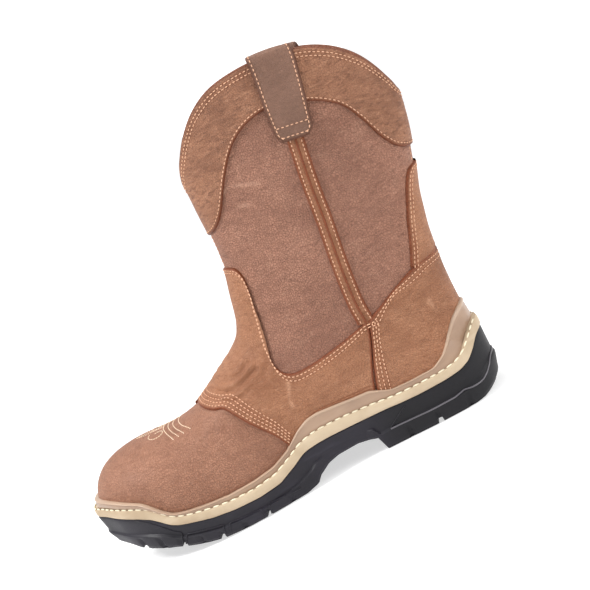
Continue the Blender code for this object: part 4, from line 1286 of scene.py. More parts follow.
def rolled(row, turn):
    """Columns of points that go over the upper's rim and turn down inside."""
    rim = skin(row, turn, 0.0)
    out = skin(row, turn, 1.0) - rim
    up = rim - skin(row - 0.25, turn, 0.0)
    out /= np.linalg.norm(out, axis=1, keepdims=True)
    up /= np.linalg.norm(up, axis=1, keepdims=True)
    return [(rim + (out * away + up * above) * MM)[:, None] for away, above in ROLL]


def make_cuff():
    share = np.linspace(0, 1, 150)
    low = locate(dense(CUFF_EDGE + ((-17.6, 174.4),), share))
    low[0, 1], low[-1, 1] = 0.0, 1.0
    turns = low[:, 1]
    edge = locate(dense(COLLAR, share))
    edge[:, 0] = collar_row(-edge[:, 1])
    edge[0, 1], edge[-1, 1] = 0.0, 1.0
    a = np.concatenate([low * (1, -1), low[::-1][1:-1] - (0, 2)])
    b = np.concatenate([edge * (1, -1), edge[::-1][1:-1] - (0, 2)])
    cuff = Sheet(a, b, ends=False, b_edge=False)
    across = cuff.shares(20)
    across = across[:, across[0] < 1 - 0.9 / cuff.wide[0]]
    row = a[:, :1] + (b[:, :1] - a[:, :1]) * across
    turn = a[:, 1:] + (b[:, 1:] - a[:, 1:]) * across
    from_a, from_b = across * cuff.wide[:, None], (1 - across) * cuff.wide[:, None]
    thread = np.minimum(*[np.abs(from_b - distance) for distance in CUFF_ROWS])
    thread = np.minimum(np.abs(from_a - CUFF_ROWS[0]), thread)
    bulge = np.sqrt(np.maximum(0, 1 - (1 - np.clip(from_a / ROUND_OFF, 0, 1)) ** 2))
    outer = skin(row, turn, SEAT + OVERLAY * bulge - DENT * np.exp(-((thread / DENT_HALF) ** 2)))
    under = skin(row[:, :1], turn[:, :1], -0.1)
    points = np.concatenate([under, outer] + rolled(b[:, 0], b[:, 1]), 1)
    n, count = points.shape[:2]
    faces = grid_faces(n, count)
    wrap = np.stack([(n - 1) * count + np.arange(count), np.arange(count)], 1)
    faces = np.concatenate([faces, np.stack([wrap[:-1, 0], wrap[1:, 0], wrap[1:, 1], wrap[:-1, 1]], 1)])
    extra = points.shape[1] - outer.shape[1] - 1
    edge_mark = np.concatenate([np.zeros((n, 1)), from_a, np.full((n, extra), 1.0)], 1)
    thread_mark = np.concatenate([np.full((n, 1), NO_EDGE), thread, np.full((n, extra), NO_EDGE)], 1)
    marks = {"edge": edge_mark, "thread": thread_mark}
    piece = new_piece("cuff_leather", points, faces, [cuff_leather], marks, CUT_SHARP)
    merge(piece)
    smooth_off(piece.data, CUT_SHARP)
    hand_over(piece, "leather", "collar_cuff")
    return cuff


def ring_row(sheet_of_cuff, distance, edge):
    line = sheet_of_cuff.row_of(distance, edge, 0, 1)
    return np.concatenate([line, line[:1]])


cuff = make_cuff()
seams["leather"].append(ring_row(cuff, CUFF_ROWS[0], "a"))
seams["leather"] += [ring_row(cuff, distance, "b") for distance in CUFF_ROWS]

# %% [markdown]
# The shaft is closed by short seams at front and back, seen between cuff, tongue
# and back strip. A row of stitches stands on each side of them.

# %% Rows down the front and back seams of the shaft
for at, low, high in ((0.0, 163.0, 184.0), (1.0, 166.0, 173.0)):
    front_profile = at == 0.0
    heights = np.linspace(low, high, 24)
    first_row = HEEL_RING + 1
    column = ring["top_high" if front_profile else "base_high"][first_row:]
    rows = np.interp(heights, column, np.arange(first_row, len(RINGS)))
    for gap in (-0.05, 0.05):
        turn = gap if front_profile else np.sign(gap) * (1 - abs(gap))
        seams["leather"].append(skin(rows, turn, 0.05))
print("rows of stitches so far:", len(seams["leather"]))

# %% [markdown]
# A pull strap is a ribbon that runs up the outside, over the collar with a little
# air under it, and down the inside. Its path is a handful of places on the skin, an
# arc over the edge and a few places inside; its width comes from the strap's table.
# Solidify with a rounded rim would leave square corners, so the section is drawn.

# %% Lay the pull straps' path
STRAP_ROW, STRAP_BARS = 2.4, (2.6, 9.5)
STRAP_DENT, STRAP_DENT_HALF = 0.16, 0.5
UP_STEPS, ARC_STEPS, DOWN_STEPS = 36, 15, 16
EDGE_LANES = np.array([0.9, 0.95, 0.985, 1])
LANES = np.concatenate([-EDGE_LANES[::-1], np.linspace(-0.82, 0.82, 17), EDGE_LANES])
PROBE = (5, 10)


def over_collar(stations, side, outside, inside):
    """Points of the arc over the collar, then of the run down inside."""
    rims = np.interp(stations, collar_line[:, 0], collar_line[:, 1])

    def under_rim(offset, drop):
        spot = locate(np.stack([stations, rims - drop], 1))
        return skin(spot[:, 0], spot[:, 1] * side, offset)

    rim_out, rim_in = under_rim(outside, 0.0), under_rim(inside, 0.0)
    centre, reach = (rim_out + rim_in) / 2, (rim_out - rim_in) / 2
    long = np.linalg.norm(reach, axis=1, keepdims=True)
    up = np.array([0.0, 0.0, 1.0])
    lift = STRAP_RISE * MM - long - STRAP_THICK / 2 * MM
    swing = np.linspace(0, math.pi, ARC_STEPS)
    arc = [centre + up * lift + reach * math.cos(t) + up * long * math.sin(t) for t in swing]
    inner = [under_rim(inside, d) for d in np.linspace(2, STRAP_INSIDE_DROP, DOWN_STEPS)]
    return np.concatenate([np.array(arc), np.array(inner)])


def strap_path(side):
    """The strap's middle layer, its normals and its half widths, from the lower end on."""
    outside = SEAT + OVERLAY + SEAT + STRAP_THICK / 2
    inside = -(WALL + 2.4 * SEAT + STRAP_THICK / 2)
    line = np.stack([strap["station"], strap["height"]], 1)
    down = line[0] - line[-1]
    down /= np.linalg.norm(down)
    sideways = np.array([-down[1], down[0]])
    heights = np.linspace(line[0][1], line[-1][1] - 5.0, UP_STEPS)
    middle = np.stack([np.interp(heights, line[:, 1], line[:, 0]), heights], 1)
    halves = np.interp(heights, line[:, 1], strap["half"])
    halves -= 1.6 * (1 - ease(heights, line[0][1], line[0][1] + 5.5))
    wide = halves[:, None] * LANES[None, :]
    spots = (middle[:, None, :] + sideways * wide[..., None]).reshape(-1, 2)
    found = locate(spots).reshape(len(heights), len(LANES), 2)
    outer = skin(found[..., 0], found[..., 1] * side, outside)
    stations = line[-1][0] + sideways[0] * strap["half"][-1] * LANES
    path = np.concatenate([outer, over_collar(stations, side, outside, inside)])
    normal = np.cross(np.gradient(path, axis=0), np.gradient(path, axis=1))
    normal /= np.linalg.norm(normal, axis=2, keepdims=True)
    row, turn = found[PROBE]
    outwards = skin(row, turn * side, 5.0) - path[PROBE]
    normal *= np.sign((normal[PROBE] * outwards).sum())
    return path, normal, np.concatenate([halves, np.full(ARC_STEPS + DOWN_STEPS, strap["half"][-1])])


# %% [markdown]
# With its path known, a strap is two faces half its thickness away from the path,
# which meet at the rounded sides. Stitches run up both edges to the top of the
# arc, and twice across the lower end.

# %% Make the pull straps
def strap_rows(top, halves, length):
    """Rows of stitches beside both edges, and across the lower end."""
    start = int(np.argmin(np.abs(length - STRAP_BARS[0])))
    lines = range(start, UP_STEPS + ARC_STEPS // 2 + 1)
    rows = []
    for way in (-1, 1):
        want = way * (1 - STRAP_ROW / halves)
        rows.append(np.array([[np.interp(want[i], LANES, top[i, :, k]) for k in range(3)] for i in lines]))
    for distance in STRAP_BARS:
        rows.append(top[int(np.argmin(np.abs(length - distance))), 5:-5])
    return rows


def make_strap(word, side):
    path, normal, halves = strap_path(side)
    steps = np.linalg.norm(np.diff(path[:, len(LANES) // 2 - 1], axis=0), axis=1)
    length = np.concatenate(([0], np.cumsum(steps))) / MM
    from_side = (1 - np.abs(LANES))[None, :] * halves[:, None]
    from_end = np.minimum(length, length[-1] - length)[:, None]
    edge = np.minimum(from_side, from_end + 0 * from_side)
    bars = np.minimum(*[np.abs(from_end - bar) for bar in STRAP_BARS]) + NO_EDGE * (from_side < STRAP_ROW)
    thread = np.minimum(np.abs(from_side - STRAP_ROW), bars)
    half = STRAP_THICK / 2 * MM * np.sqrt(np.maximum(0, 1 - (1 - np.clip(edge, 0, 1)) ** 2))
    dent = STRAP_DENT * MM * np.exp(-((thread / STRAP_DENT_HALF) ** 2))
    face = path + normal * (half - dent)[..., None]
    back = path - normal * half[..., None]
    n, count = path.shape[:2]
    faces = np.concatenate([grid_faces(n, count), grid_faces(n, count, n * count)[:, ::-1]])
    points = np.concatenate([face.reshape(-1, 3), back.reshape(-1, 3)])
    marks = {"edge": np.concatenate([edge.ravel()] * 2), "thread": np.concatenate([thread.ravel()] * 2)}
    piece = new_piece("pull_strap_leather_" + word, points, faces, [strap_leather], marks, CUT_SHARP)
    merge(piece)
    smooth_off(piece.data, CUT_SHARP)
    hand_over(piece, "strap leather", "pull_strap_" + word)
    seams["leather"] += strap_rows(path + normal * (STRAP_THICK / 2 * MM), halves, length)
    return length[-1]


for word, side in (("lateral", LATERAL), ("medial", MEDIAL)):
    print("strap", word, "is", round(float(make_strap(word, side))), "mm long")

# %% [markdown]
# The sole is one moulded cup: charcoal rubber with a heel, a forefoot and a raised
# arch. Its edge is a loft, a closed loop of points repeated at each height of the
# same steps as the solid has, only finer, and blocks are marked along its side by
# notches pressed into the loop. The grooves of the tread are cut with boxes, since
# a real mould has straight bars there.

# %% Draw loops round the sole
def sole_loop(inset, stations):
    """Station and width round the edge, moved inwards by an inset for each station."""
    lateral = np.stack([stations, -half_width(stations, LATERAL)], 1)
    medial = np.stack([stations, half_width(stations, MEDIAL)], 1)[1:-1][::-1]
    loop = np.concatenate([lateral, medial])
    run = np.roll(loop, -1, 0) - np.roll(loop, 1, 0)
    run /= np.linalg.norm(run, axis=1, keepdims=True)
    inwards = np.stack([-run[:, 1], run[:, 0]], 1)
    amount = np.concatenate([inset, inset[1:-1][::-1]]) if np.ndim(inset) else inset
    return loop + inwards * np.reshape(amount, (-1, 1)) * np.ones((len(loop), 1))


def round_trip(values):
    return np.concatenate([values, values[1:-1][::-1]])


LOOP_STATIONS = 190
t = np.linspace(0, 1, LOOP_STATIONS)
fine_stations = LENGTH * (1 - np.cos(np.pi * t)) / 2 * 0.35 + LENGTH * t * 0.65
fine_stations = np.unique(np.concatenate([fine_stations, [95.0, 98.0]]))


def step_inset(row, stations):
    side, heel, toe, arch = row[1:]
    rear, rear_full, fore_full, fore = ARCH_PANEL
    toward_toe, toward_heel = ease(stations, 262.0, LENGTH), 1 - ease(stations, 0.0, 26.0)
    at_arch = ease(stations, rear, rear_full) - ease(stations, fore_full, fore)
    return side + (toe - side) * toward_toe + (heel - side) * toward_heel + (arch - side) * at_arch


def stack(loops):
    """Quads between loops of one length, with a strip of quads over each end."""
    count = len(loops[0])
    faces = [grid_faces(len(loops), count, 0, True)]
    half = count // 2
    i = np.arange(half)
    for first, flip in ((0, True), ((len(loops) - 1) * count, False)):
        near, far = first + i, first + (count - i) % count
        strip = np.stack([near, np.roll(near, -1), np.roll(far, -1), far], 1)[:-1]
        last = np.array([[near[-1], first + half, first + half, far[-1]]])
        strip = np.concatenate([strip, last])
        faces.append(strip[:, ::-1] if flip else strip)
    out = []
    for quad in np.concatenate(faces):
        corners = list(dict.fromkeys(int(v) for v in quad))
        if len(corners) > 2:
            out.append(corners)
    return out


# %% [markdown]
# The loops are stacked at shares of the side's height, closer together at the ledge
# where the blocks end. Bars and channels are then cut out of the tread exactly.

# %% Make the outsole
SIDE_SHARES = (
    0, 0.02, 0.06, 0.12, 0.2, 0.3, 0.4, 0.44, 0.455,
    0.475, 0.495, 0.51, 0.53, 0.7, 0.86, 0.95, 0.985, 1.0,
)
NOTCH_DEEP, NOTCH_HALF = 1.5, 1.7
SLOPE_REACH = 4.0


def box_cutter(name, boxes):
    """An object of boxes, one for each matrix."""
    made = bmesh.new()
    for matrix in boxes:
        bmesh.ops.create_cube(made, size=1.0, matrix=matrix)
    cutter = bpy.data.objects.new(name, bpy.data.meshes.new(name))
    made.to_mesh(cutter.data)
    made.free()
    scene.collection.objects.link(cutter)
    return cutter


def tread_cutters():
    """Bars across the tread, turned with its slope, and channels along it."""
    bars, channels = [], []
    for station, width, depth, half in GROOVES:
        floor = float(sole_line("tread", station))
        rise = float(sole_line("tread", station + SLOPE_REACH) - sole_line("tread", station - SLOPE_REACH))
        turn = Matrix.Rotation(math.atan2(rise, 2 * SLOPE_REACH), 4, "Y")
        size = Matrix.Diagonal((width * MM, 2 * half * MM, 2 * depth * MM, 1))
        bars.append(Matrix.Translation(Vector(place(station, 0.0, floor))) @ turn @ size)
    for first, last, width, depth in CHANNELS:
        size = Matrix.Diagonal(((last - first) * MM, width * MM, 2 * depth * MM, 1))
        channels.append(Matrix.Translation(Vector(place((first + last) / 2, 0.0, 0.0))) @ size)
    return [box_cutter("tread bars", bars), box_cutter("tread channels", channels)]


def make_outsole():
    s = fine_stations
    low, high = sole_line("tread", s), soft_line("outsole", s, 1.5)
    table_shares = [row[0] for row in OUTSOLE_STEPS]
    loops = []
    blocks = np.zeros_like(s)
    for station, *_ in GROOVES:
        blocks = np.maximum(blocks, np.exp(-(((s - station) / NOTCH_HALF) ** 4)))
    for share in SIDE_SHARES:
        i = int(np.clip(np.searchsorted(table_shares, share) - 1, 0, len(OUTSOLE_STEPS) - 2))
        f = (share - table_shares[i]) / (table_shares[i + 1] - table_shares[i])
        a, b = step_inset(OUTSOLE_STEPS[i], s), step_inset(OUTSOLE_STEPS[i + 1], s)
        inset = a + (b - a) * ease(f, -0.1, 1.1)
        notch = blocks * ease(share, 0.42, 0.36) * ease(share, -0.02, 0.03)
        inset = inset + NOTCH_DEEP * notch + 0.5 * ease(share, 0.97, 1.0)
        heights = low + (high - low) * share
        flat = sole_loop(inset, s)
        loops.append(place(flat[:, 0], flat[:, 1], round_trip(heights)))
    cup = np.minimum(high - 0.6, sole_line("bed", s) - 5.0)
    # Over the rim and down inside, where the welt stands.
    for inset, line in ((2.8, high), (3.2, cup)):
        flat = sole_loop(inset, s)
        loops.append(place(flat[:, 0], flat[:, 1], round_trip(line)))
    piece = new_piece("outsole_rubber", np.array(loops), stack(loops), [outsole_rubber])
    merge(piece)
    cutters = tread_cutters()
    for cutter in cutters:
        cut = piece.modifiers.new("cut", "BOOLEAN")
        cut.operation, cut.solver, cut.object = "DIFFERENCE", "EXACT", cutter
    settle(piece)
    for cutter in cutters:
        bpy.data.objects.remove(cutter)
    smooth_off(piece.data, 28)
    return hand_over(piece, "outsole rubber", "outsole")


make_outsole()

# %% [markdown]
# Raised ribs run round the heel and frame the blocks on the sole's side. They are
# half sunk beads that follow a path, so a Geometry Nodes tree sweeps a circle
# along lines laid on the cup's side by station and share of height.

# %% Lay the side's ribs
def on_side(points, side, count):
    """Metre points on the cup's side from (station, share of height) points."""
    line = dense([(s, 100.0 * q) for s, q in points], count, False)
    s, share = line[:, 0], line[:, 1] / 100.0
    columns = np.stack([step_inset(row, s) for row in OUTSOLE_STEPS])
    shares = np.array([row[0] for row in OUTSOLE_STEPS])
    inset = np.array([np.interp(q, shares, columns[:, i]) for i, q in enumerate(share)]) - 0.15
    fore, rear = s + 0.2, np.maximum(s - 0.2, 0.01)
    slope = (half_width(fore, side) - half_width(rear, side)) / (fore - rear)
    long = np.hypot(slope, 1)
    low, high = sole_line("tread", s), soft_line("outsole", s, 1.5)
    across = side * (half_width(s, side) - inset / long)
    return place(s + inset * slope / long, across, low + (high - low) * share)


def rib_tree(finish):
    """Sweeps a circle of the given thickness along the lines of a mesh."""
    tree = bpy.data.node_groups.new("rib " + finish.name, "GeometryNodeTree")
    tree.interface.new_socket("Geometry", in_out="INPUT", socket_type="NodeSocketGeometry")
    tree.interface.new_socket("Thickness", in_out="INPUT", socket_type="NodeSocketFloat")
    tree.interface.new_socket("Geometry", in_out="OUTPUT", socket_type="NodeSocketGeometry")
    inside = tree.nodes.new("NodeGroupInput").outputs
    half = tree.nodes.new("ShaderNodeMath")
    half.operation, half.inputs[1].default_value = "MULTIPLY", 0.5
    tree.links.new(inside["Thickness"], half.inputs[0])
    circle = tree.nodes.new("GeometryNodeCurvePrimitiveCircle")
    circle.inputs["Resolution"].default_value = 10
    tree.links.new(half.outputs[0], circle.inputs["Radius"])
    last = inside["Geometry"]
    for kind, values in (
        ("GeometryNodeMeshToCurve", {}),
        ("GeometryNodeCurveToMesh", {"Fill Caps": True}),
        ("GeometryNodeSetShadeSmooth", {}),
        ("GeometryNodeRealizeInstances", {}),
        ("GeometryNodeSetMaterial", {"Material": finish}),
    ):
        made = tree.nodes.new(kind)
        for key, value in values.items():
            made.inputs[key].default_value = value
        tree.links.new(last, made.inputs[0])
        if kind == "GeometryNodeCurveToMesh":
            tree.links.new(circle.outputs[0], made.inputs["Profile Curve"])
        last = made.outputs[0]
    tree.links.new(last, tree.nodes.new("NodeGroupOutput").inputs[0])
    return tree


def sweep(name, lines, finish, slot, thickness):
    piece = line_piece(name, lines)
    grow(piece, rib_tree(finish), {"Thickness": thickness * MM})
    merge(piece, distance=0.0000001)
    return hand_over(piece, slot)


HEEL_RIB = (
    (87.0, 0.47), (71.0, 0.47), (56.0, 0.46), (38.0, 0.46), (30.0, 0.5), (21.5, 0.42),
    (15.0, 0.38), (10.5, 0.4), (6.0, 0.46), (3.4, 0.49), (1.6, 0.5), (0.5, 0.5), (0.1, 0.5),
)
BLOCK_RIBS = (
    ((87.0, 0.48), (79.0, 0.68), (71.0, 0.88)),
    ((276.0, 0.97), (266.5, 0.9), (255.0, 0.74), (248.5, 0.66), (249.5, 0.4), (251.0, 0.16)),
    ((249.0, 0.16), (245.0, 0.56), (232.0, 0.58), (218.5, 0.58), (220.0, 0.18)),
    ((216.5, 0.14), (213.5, 0.54), (202.0, 0.52), (190.0, 0.5), (189.0, 0.06)),
    ((185.0, 0.08), (183.5, 0.54), (172.0, 0.45), (160.0, 0.32)),
)
RIB_THICK = 1.1
outer_rib, inner_rib = [on_side(HEEL_RIB, side, 90) for side in (LATERAL, MEDIAL)]
sweep("heel_rib", [np.concatenate([outer_rib, inner_rib[::-1]])], rib_rubber_painted_highlight, "outsole rubber", RIB_THICK)
block_lines = [on_side(rib, side, 40) for rib in BLOCK_RIBS for side in (LATERAL, MEDIAL)]
sweep("block_ribs", block_lines, outsole_rubber, "outsole rubber", RIB_THICK)

# %% [markdown]
# A pale welt stands between cup and leather. It is a plain strip with rounded edges,
# a shallow channel near its rim, and one row of long stitches sunk in the channel.

# %% Make the welt
WELT_ROW, WELT_ROW_START = 1.35, 3.0


def make_welt():
    s = fine_stations
    top, base = soft_line("welt", s, 1.5), soft_line("outsole", s, 1.5) + SEAT
    bed = sole_line("bed", s)
    cup = np.minimum(soft_line("outsole", s, 1.5) - 0.6, bed - 5.0) + SEAT
    # Insets from the sole's edge and heights, from the cup up over the stitched channel.
    rows = (
        (3.6, cup), (3.6, base), (1.0, base), (0.7, base + 0.3), (0.5, base + 1.0),
        (0.35, (base + top) / 2), (0.5, top - 1.2), (0.7, top - 0.5), (0.95, top - 0.15),
        (1.15, top - 0.1), (1.3, top - 0.35), (1.6, top - 0.45), (1.9, top - 0.4),
        (2.1, top - 0.1), (2.4, top), (5.0, top), (5.4, bed - FLOOR_DROP - 0.4),
    )
    loops = []
    for inset, line in rows:
        flat = sole_loop(inset, s)
        loops.append(place(flat[:, 0], flat[:, 1], round_trip(line)))
    piece = new_piece("welt_strip", np.array(loops), stack(loops), [welt_rubber])
    merge(piece)
    smooth_off(piece.data, 38)
    hand_over(piece, "welt rubber", "midsole")
    flat = sole_loop(WELT_ROW, s)
    line = place(flat[:, 0], flat[:, 1], round_trip(top) + 0.25)
    first = int(np.argmin(np.abs(s - WELT_ROW_START)))
    return line[first:len(line) - first + 1]


seams["welt"].append(make_welt())

# %% [markdown]
# The rand is a taupe rubber band between welt and leather, high at the toe, the
# arch and the heel. It must touch the leather all round, so its points are found
# by looking inwards from the sole's edge to the leather's own surface.

# %% Make the rand
foot_rows, foot_turns = np.arange(0, SHAFT_RING + 0.01, 0.25), np.linspace(-1, 1, 161)
foot = skin(foot_rows[:, None], foot_turns[None, :], worn=False)
leather_tree = BVHTree.FromPolygons(
    [tuple(p) for p in foot.reshape(-1, 3)],
    [tuple(map(int, f)) for f in grid_faces(*foot.shape[:2])],
)
# The rand's section: share of its height, and distance out from the leather.
RAND_COLUMNS = ("share", "out")
RAND_SECTION = (
    (0.0, 0.1), (0.0, 2.9), (0.1, 2.95), (0.3, 3.0), (0.55, 2.9),
    (0.76, 2.7), (0.81, 2.65), (0.845, 3.0), (0.88, 3.3), (0.95, 3.3),
    (0.985, 3.0), (1.0, 2.3), (1.005, 1.4), (1.0, 0.1), (0.5, 0.1),
)


def make_rand():
    s = fine_stations
    flat = sole_loop(0.0, s)
    run = np.roll(flat, -1, 0) - np.roll(flat, 1, 0)
    run /= np.linalg.norm(run, axis=1, keepdims=True)
    inward = np.stack([run[:, 1], run[:, 0], 0 * run[:, 0]], 1)

    def hug(i, height, offset):
        way = Vector(inward[i])
        start = Vector(place(flat[i][0], flat[i][1] + 0.02, height))
        hit, normal, _, _ = leather_tree.ray_cast(start - way * 0.01, way, 0.06)
        level = Vector((normal.x, normal.y, 0.0))
        if level.dot(way) > 0:
            level = -level
        return hit + level.normalized() * offset * MM

    def line(share, station):
        low = soft_line("welt", station, 1.5) - 0.5
        return float(low + (soft_line("rand", station, 2.0) - low) * share)

    loops = []
    for share, offset in RAND_SECTION:
        loop = []
        for i in range(len(flat)):
            station = flat[i][0]
            for _ in range(3):
                station = ORIGIN_STATION - hug(i, line(share, station), 0.0).x / MM
            loop.append(tuple(hug(i, line(share, station), offset)))
        loops.append(loop)
    loops = np.array(loops)
    count = len(flat)
    here, beyond = np.arange(count), np.roll(np.arange(count), -1)
    last = (len(RAND_SECTION) - 1) * count
    closing = np.stack([last + here, last + beyond, beyond, here], 1)
    faces = np.concatenate([grid_faces(len(RAND_SECTION), count, 0, True), closing])
    # Painted highlight: the top of the rand's section is marked to be painted paler.
    painted_lip_highlight = np.repeat([float(share > 0.86) for share, _ in RAND_SECTION], count)
    piece = new_piece("rand_band", loops, faces, [rand_rubber], {"painted_lip_highlight": painted_lip_highlight})
    merge(piece)
    smooth_off(piece.data, 50)
    return hand_over(piece, "rand rubber", "rand")


make_rand()

# %% [markdown]
# Inside lies a flat footbed. It is hardly seen, so the solid keeps its own mesh and
# only takes the dull black finish.

# %% Finish the footbed
for made in scene.objects:
    if made.name.startswith("insole"):
        made.data.materials.clear()
        made.data.materials.append(footbed)
        print("footbed finish on", made.name)

# %% [markdown]
# A plain toe still carries traditional rows of decorative stitches. They are drawn
# here as a generic set: four shallow rows that sweep back at the sides, and before
# them a curl and a short wave on each side. Being sewn thread, they lie on the
# leather like the seams do.

# %% Draw the toe's stitching
def on_toe(points, count=60):
    """A line on the toe from (station, across) points, dropped onto the leather."""
    p = np.array(points, float)
    t = np.linspace(0, len(p) - 1, count * 2)
    line = np.stack([smooth(p[:, 0], t), smooth(p[:, 1], t)], 1)
    out = []
    for station, across in line:
        start = Vector(place(station, across, 140.0))
        hit, normal, _, _ = leather_tree.ray_cast(start, Vector((0, 0, -1)), 0.2)
        spot = hit / MM
        push = float(relief(np.array([ORIGIN_STATION - spot.x, spot.y, spot.z])))
        normal = normal if normal.z > 0 else -normal
        out.append(tuple(hit + normal * (push + 0.1) * MM))
    return np.array(out)


# Stations of the four rows, in the middle and at the sides.
TOE_ROWS = ((223.1, 212.8), (228.0, 218.6), (232.0, 223.0), (235.8, 227.4))
CURL_AT, CURL_ACROSS, CURL_RADIUS = 240.5, 11.0, 7.0

for mid, side in TOE_ROWS:
    row = [(side, -27), (mid - 3.4, -17), (mid, -6), (mid, 6), (mid - 3.4, 17), (side, 27)]
    seams["toe"].append(on_toe(row))
for way in (-1, 1):
    curl = []
    for a in np.linspace(-0.5, 5.2, 12):
        along, across = CURL_RADIUS * math.cos(a) * (1 - a / 9), CURL_RADIUS * math.sin(a) * (1 - a / 9)
        curl.append((CURL_AT + along, way * (CURL_ACROSS + across)))
    seams["toe"].append(on_toe(curl, 40))
    wave = [(236.5, way * 1.5), (243.0, way * 1.2), (251.0, way * 2.6), (258.0, 0.0)]
    seams["toe"].append(on_toe(wave, 30))
print("toe rows:", len(seams["toe"]))

# %% [markdown]
# A stitch is a short plump thread with its ends pulled into the leather. A Geometry
# Nodes tree sets one on every step of a seam's line: the line becomes a curve, is
# measured off at the stitch's pitch, and each point gets a long ball turned along
# the seam. Its length varies a little with a fixed seed.

# %% Sew the seams
def sewing_tree(finish):
    """Lays a stitch on every step of the lines of a mesh."""
    tree = bpy.data.node_groups.new("sewing " + finish.name, "GeometryNodeTree")
    face = tree.interface
    face.new_socket("Geometry", in_out="INPUT", socket_type="NodeSocketGeometry")
    wanted = (("Pitch", "Float"), ("Length", "Float"), ("Thickness", "Float"), ("Seed", "Int"))
    for name, kind in wanted:
        face.new_socket(name, in_out="INPUT", socket_type="NodeSocket" + kind)
    face.new_socket("Geometry", in_out="OUTPUT", socket_type="NodeSocketGeometry")

    def node(kind, links=(), values=(), **settings):
        made = tree.nodes.new(kind)
        for key, value in settings.items():
            setattr(made, key, value)
        for key, socket in links:
            tree.links.new(socket, made.inputs[key])
        for key, value in values:
            made.inputs[key].default_value = value
        return made

    inside = node("NodeGroupInput").outputs
    curve = node("GeometryNodeMeshToCurve", [("Mesh", inside["Geometry"])])
    steps = node(
        "GeometryNodeResampleCurve",
        [("Curve", curve.outputs[0]), ("Length", inside["Pitch"])], mode="LENGTH",
    )
    ball = node("GeometryNodeMeshUVSphere", [], [("Segments", 6), ("Rings", 5), ("Radius", 0.5)])
    tangent = node("GeometryNodeInputTangent")
    turn = node("FunctionNodeAlignRotationToVector", [("Vector", tangent.outputs[0])], axis="Z")
    vary = node(
        "FunctionNodeRandomValue",
        [("Seed", inside["Seed"])], [("Min", 0.88), ("Max", 1.08)], data_type="FLOAT",
    )
    random_out = next(o for o in vary.outputs if o.enabled)
    long = node("ShaderNodeMath", [(0, inside["Length"]), (1, random_out)], operation="MULTIPLY")
    size = node(
        "ShaderNodeCombineXYZ",
        [("X", inside["Thickness"]), ("Y", inside["Thickness"]), ("Z", long.outputs[0])],
    )
    copies = node(
        "GeometryNodeInstanceOnPoints",
        [
            ("Points", steps.outputs[0]), ("Instance", ball.outputs["Mesh"]),
            ("Rotation", turn.outputs[0]), ("Scale", size.outputs[0]),
        ],
    )
    real = node("GeometryNodeRealizeInstances", [("Geometry", copies.outputs[0])])
    soft = node("GeometryNodeSetShadeSmooth", [("Geometry", real.outputs[0])])
    done = node("GeometryNodeSetMaterial", [("Geometry", soft.outputs[0])])
    done.inputs["Material"].default_value = finish
    node("NodeGroupOutput", [("Geometry", done.outputs[0])])
    return tree


def sew(name, lines, finish, slot, pitch, length, thick, seed):
    piece = line_piece(name, lines)
    values = {"Pitch": pitch * MM, "Length": length * MM, "Thickness": thick * MM, "Seed": seed}
    grow(piece, sewing_tree(finish), values)
    return hand_over(piece, slot)


# Pitch, length and thickness of each kind of stitch in millimetres, and its seed.
sew("leather_stitches", seams["leather"], peach_thread, "leather", 3.0, 2.15, 0.8, seed=3)
sew("toe_stitches", seams["toe"], cream_thread, "leather", 2.0, 1.7, 0.7, seed=5)
sew("welt_stitches", seams["welt"], pale_thread, "welt rubber", 6.5, 5.2, 1.3, seed=7)

# %% [markdown]
# The boot stands on a plain white floor under soft studio light, seen from the same
# angle as in the photograph. Area lights to the left and right keep the leather's
# colour true, and one above picks out the stitches and creases. Floor and backdrop
# glow a little, so that they stay white where the lamps don't reach. The camera is
# rolled, as if the heel were raised.

# %% Floor, lights and camera
def sheet(name, corners, pale, glow):
    """A flat white studio sheet that glows a little, so it stays white far away."""
    mesh = bpy.data.meshes.new("studio_" + name)
    mesh.from_pydata(corners, [], [(0, 1, 2, 3)])
    material = Paint("pale " + name).finish((pale, pale, pale, 1.0), 0.9, [])
    shader = next(node for node in material.node_tree.nodes if node.type == "BSDF_PRINCIPLED")
    shader.inputs["Emission Color"].default_value = (1.0, 1.0, 1.0, 1.0)
    shader.inputs["Emission Strength"].default_value = glow
    mesh.materials.append(material)
    made = bpy.data.objects.new("studio_" + name, mesh)
    scene.collection.objects.link(made)
    return made


FAR, WIDE, LOW = 60.0, 240.0, -0.0004
PALE, FLOOR_GLOW, WALL_GLOW, SKY = 0.55, 0.6, 1.0, 0.74
floor_corners = [(-FAR, -FAR, LOW), (FAR, -FAR, LOW), (FAR, FAR, LOW), (-FAR, FAR, LOW)]
wall_corners = [(-WIDE, FAR, LOW), (WIDE, FAR, LOW), (WIDE, FAR, FAR), (-WIDE, FAR, FAR)]
floor = sheet("floor", floor_corners, PALE, FLOOR_GLOW)
backdrop = sheet("backdrop", wall_corners, PALE, WALL_GLOW)
backdrop.visible_diffuse = backdrop.visible_glossy = False

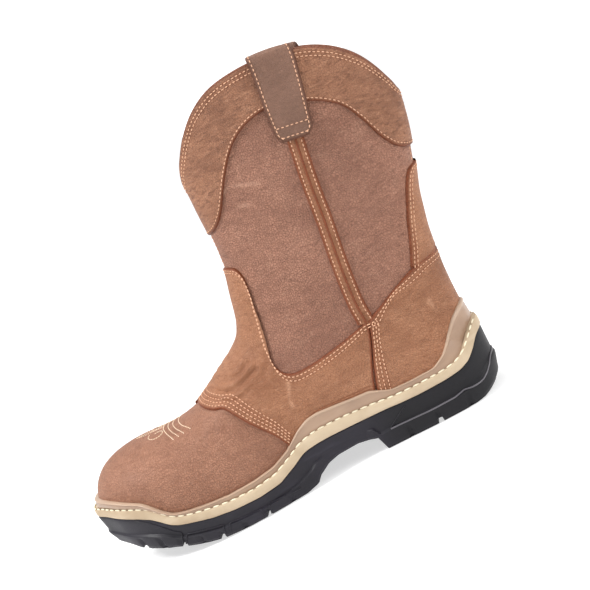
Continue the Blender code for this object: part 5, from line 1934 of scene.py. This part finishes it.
world = bpy.data.worlds.new("studio")
world.use_nodes = True
sky = world.node_tree.nodes["Background"]
sky.inputs["Color"].default_value = (0.99, 0.99, 0.99, 1.0)
sky.inputs["Strength"].default_value = SKY
scene.world = world
scene.view_settings.view_transform = "Standard"


# Each lamp's place in metres, its watts and its width in metres.
LAMPS = (
    ("left lamp", (-1.1, -0.45, 1.5), 29.0, 0.45),
    ("right lamp", (1.3, -0.5, 0.9), 10.0, 0.9),
    ("top lamp", (0.1, 0.2, 1.5), 7.0, 0.6),
)
LIT = (0.02, 0.0, 0.12)
for name, spot, power, size in LAMPS:
    light = bpy.data.lights.new(name, "AREA")
    light.energy, light.size = power, size
    made = bpy.data.objects.new(name, light)
    way = Vector(spot) - Vector(LIT)
    made.matrix_world = Matrix.Translation(spot) @ way.to_track_quat("Z", "Y").to_matrix().to_4x4()
    scene.collection.objects.link(made)

# The camera's roll and dip, then the small turns that centre the boot, in degrees.
ROLL_ANGLE, DIP_ANGLE, CENTRE_ACROSS, CENTRE_UP = 28.07, 12, 3.89, 0.55
CAMERA_AT = ((ORIGIN_STATION + 42.3) * MM, -0.9469, 0.258)

camera_data = bpy.data.cameras.new("camera")
camera = bpy.data.objects.new("camera", camera_data)
scene.collection.objects.link(camera)
roll, dip = math.radians(ROLL_ANGLE), math.radians(DIP_ANGLE)
right = Vector((math.cos(roll), 0, -math.sin(roll)))
ahead = Vector((-math.sin(roll) * math.sin(dip), math.cos(dip), -math.cos(roll) * math.sin(dip)))
up = Vector((math.sin(roll) * math.cos(dip), math.sin(dip), math.cos(roll) * math.cos(dip)))
camera_data.sensor_width = 36.0
camera_data.lens = 84.0
aimed = Matrix((right, up, -ahead)).transposed().to_4x4()
across, upwards = math.radians(CENTRE_ACROSS), math.radians(CENTRE_UP)
centred = Matrix.Rotation(across, 4, "Y") @ Matrix.Rotation(upwards, 4, "X")
camera.matrix_world = Matrix.Translation(Vector(CAMERA_AT)) @ aimed @ centred
camera_data.dof.use_dof = False
scene.camera = camera
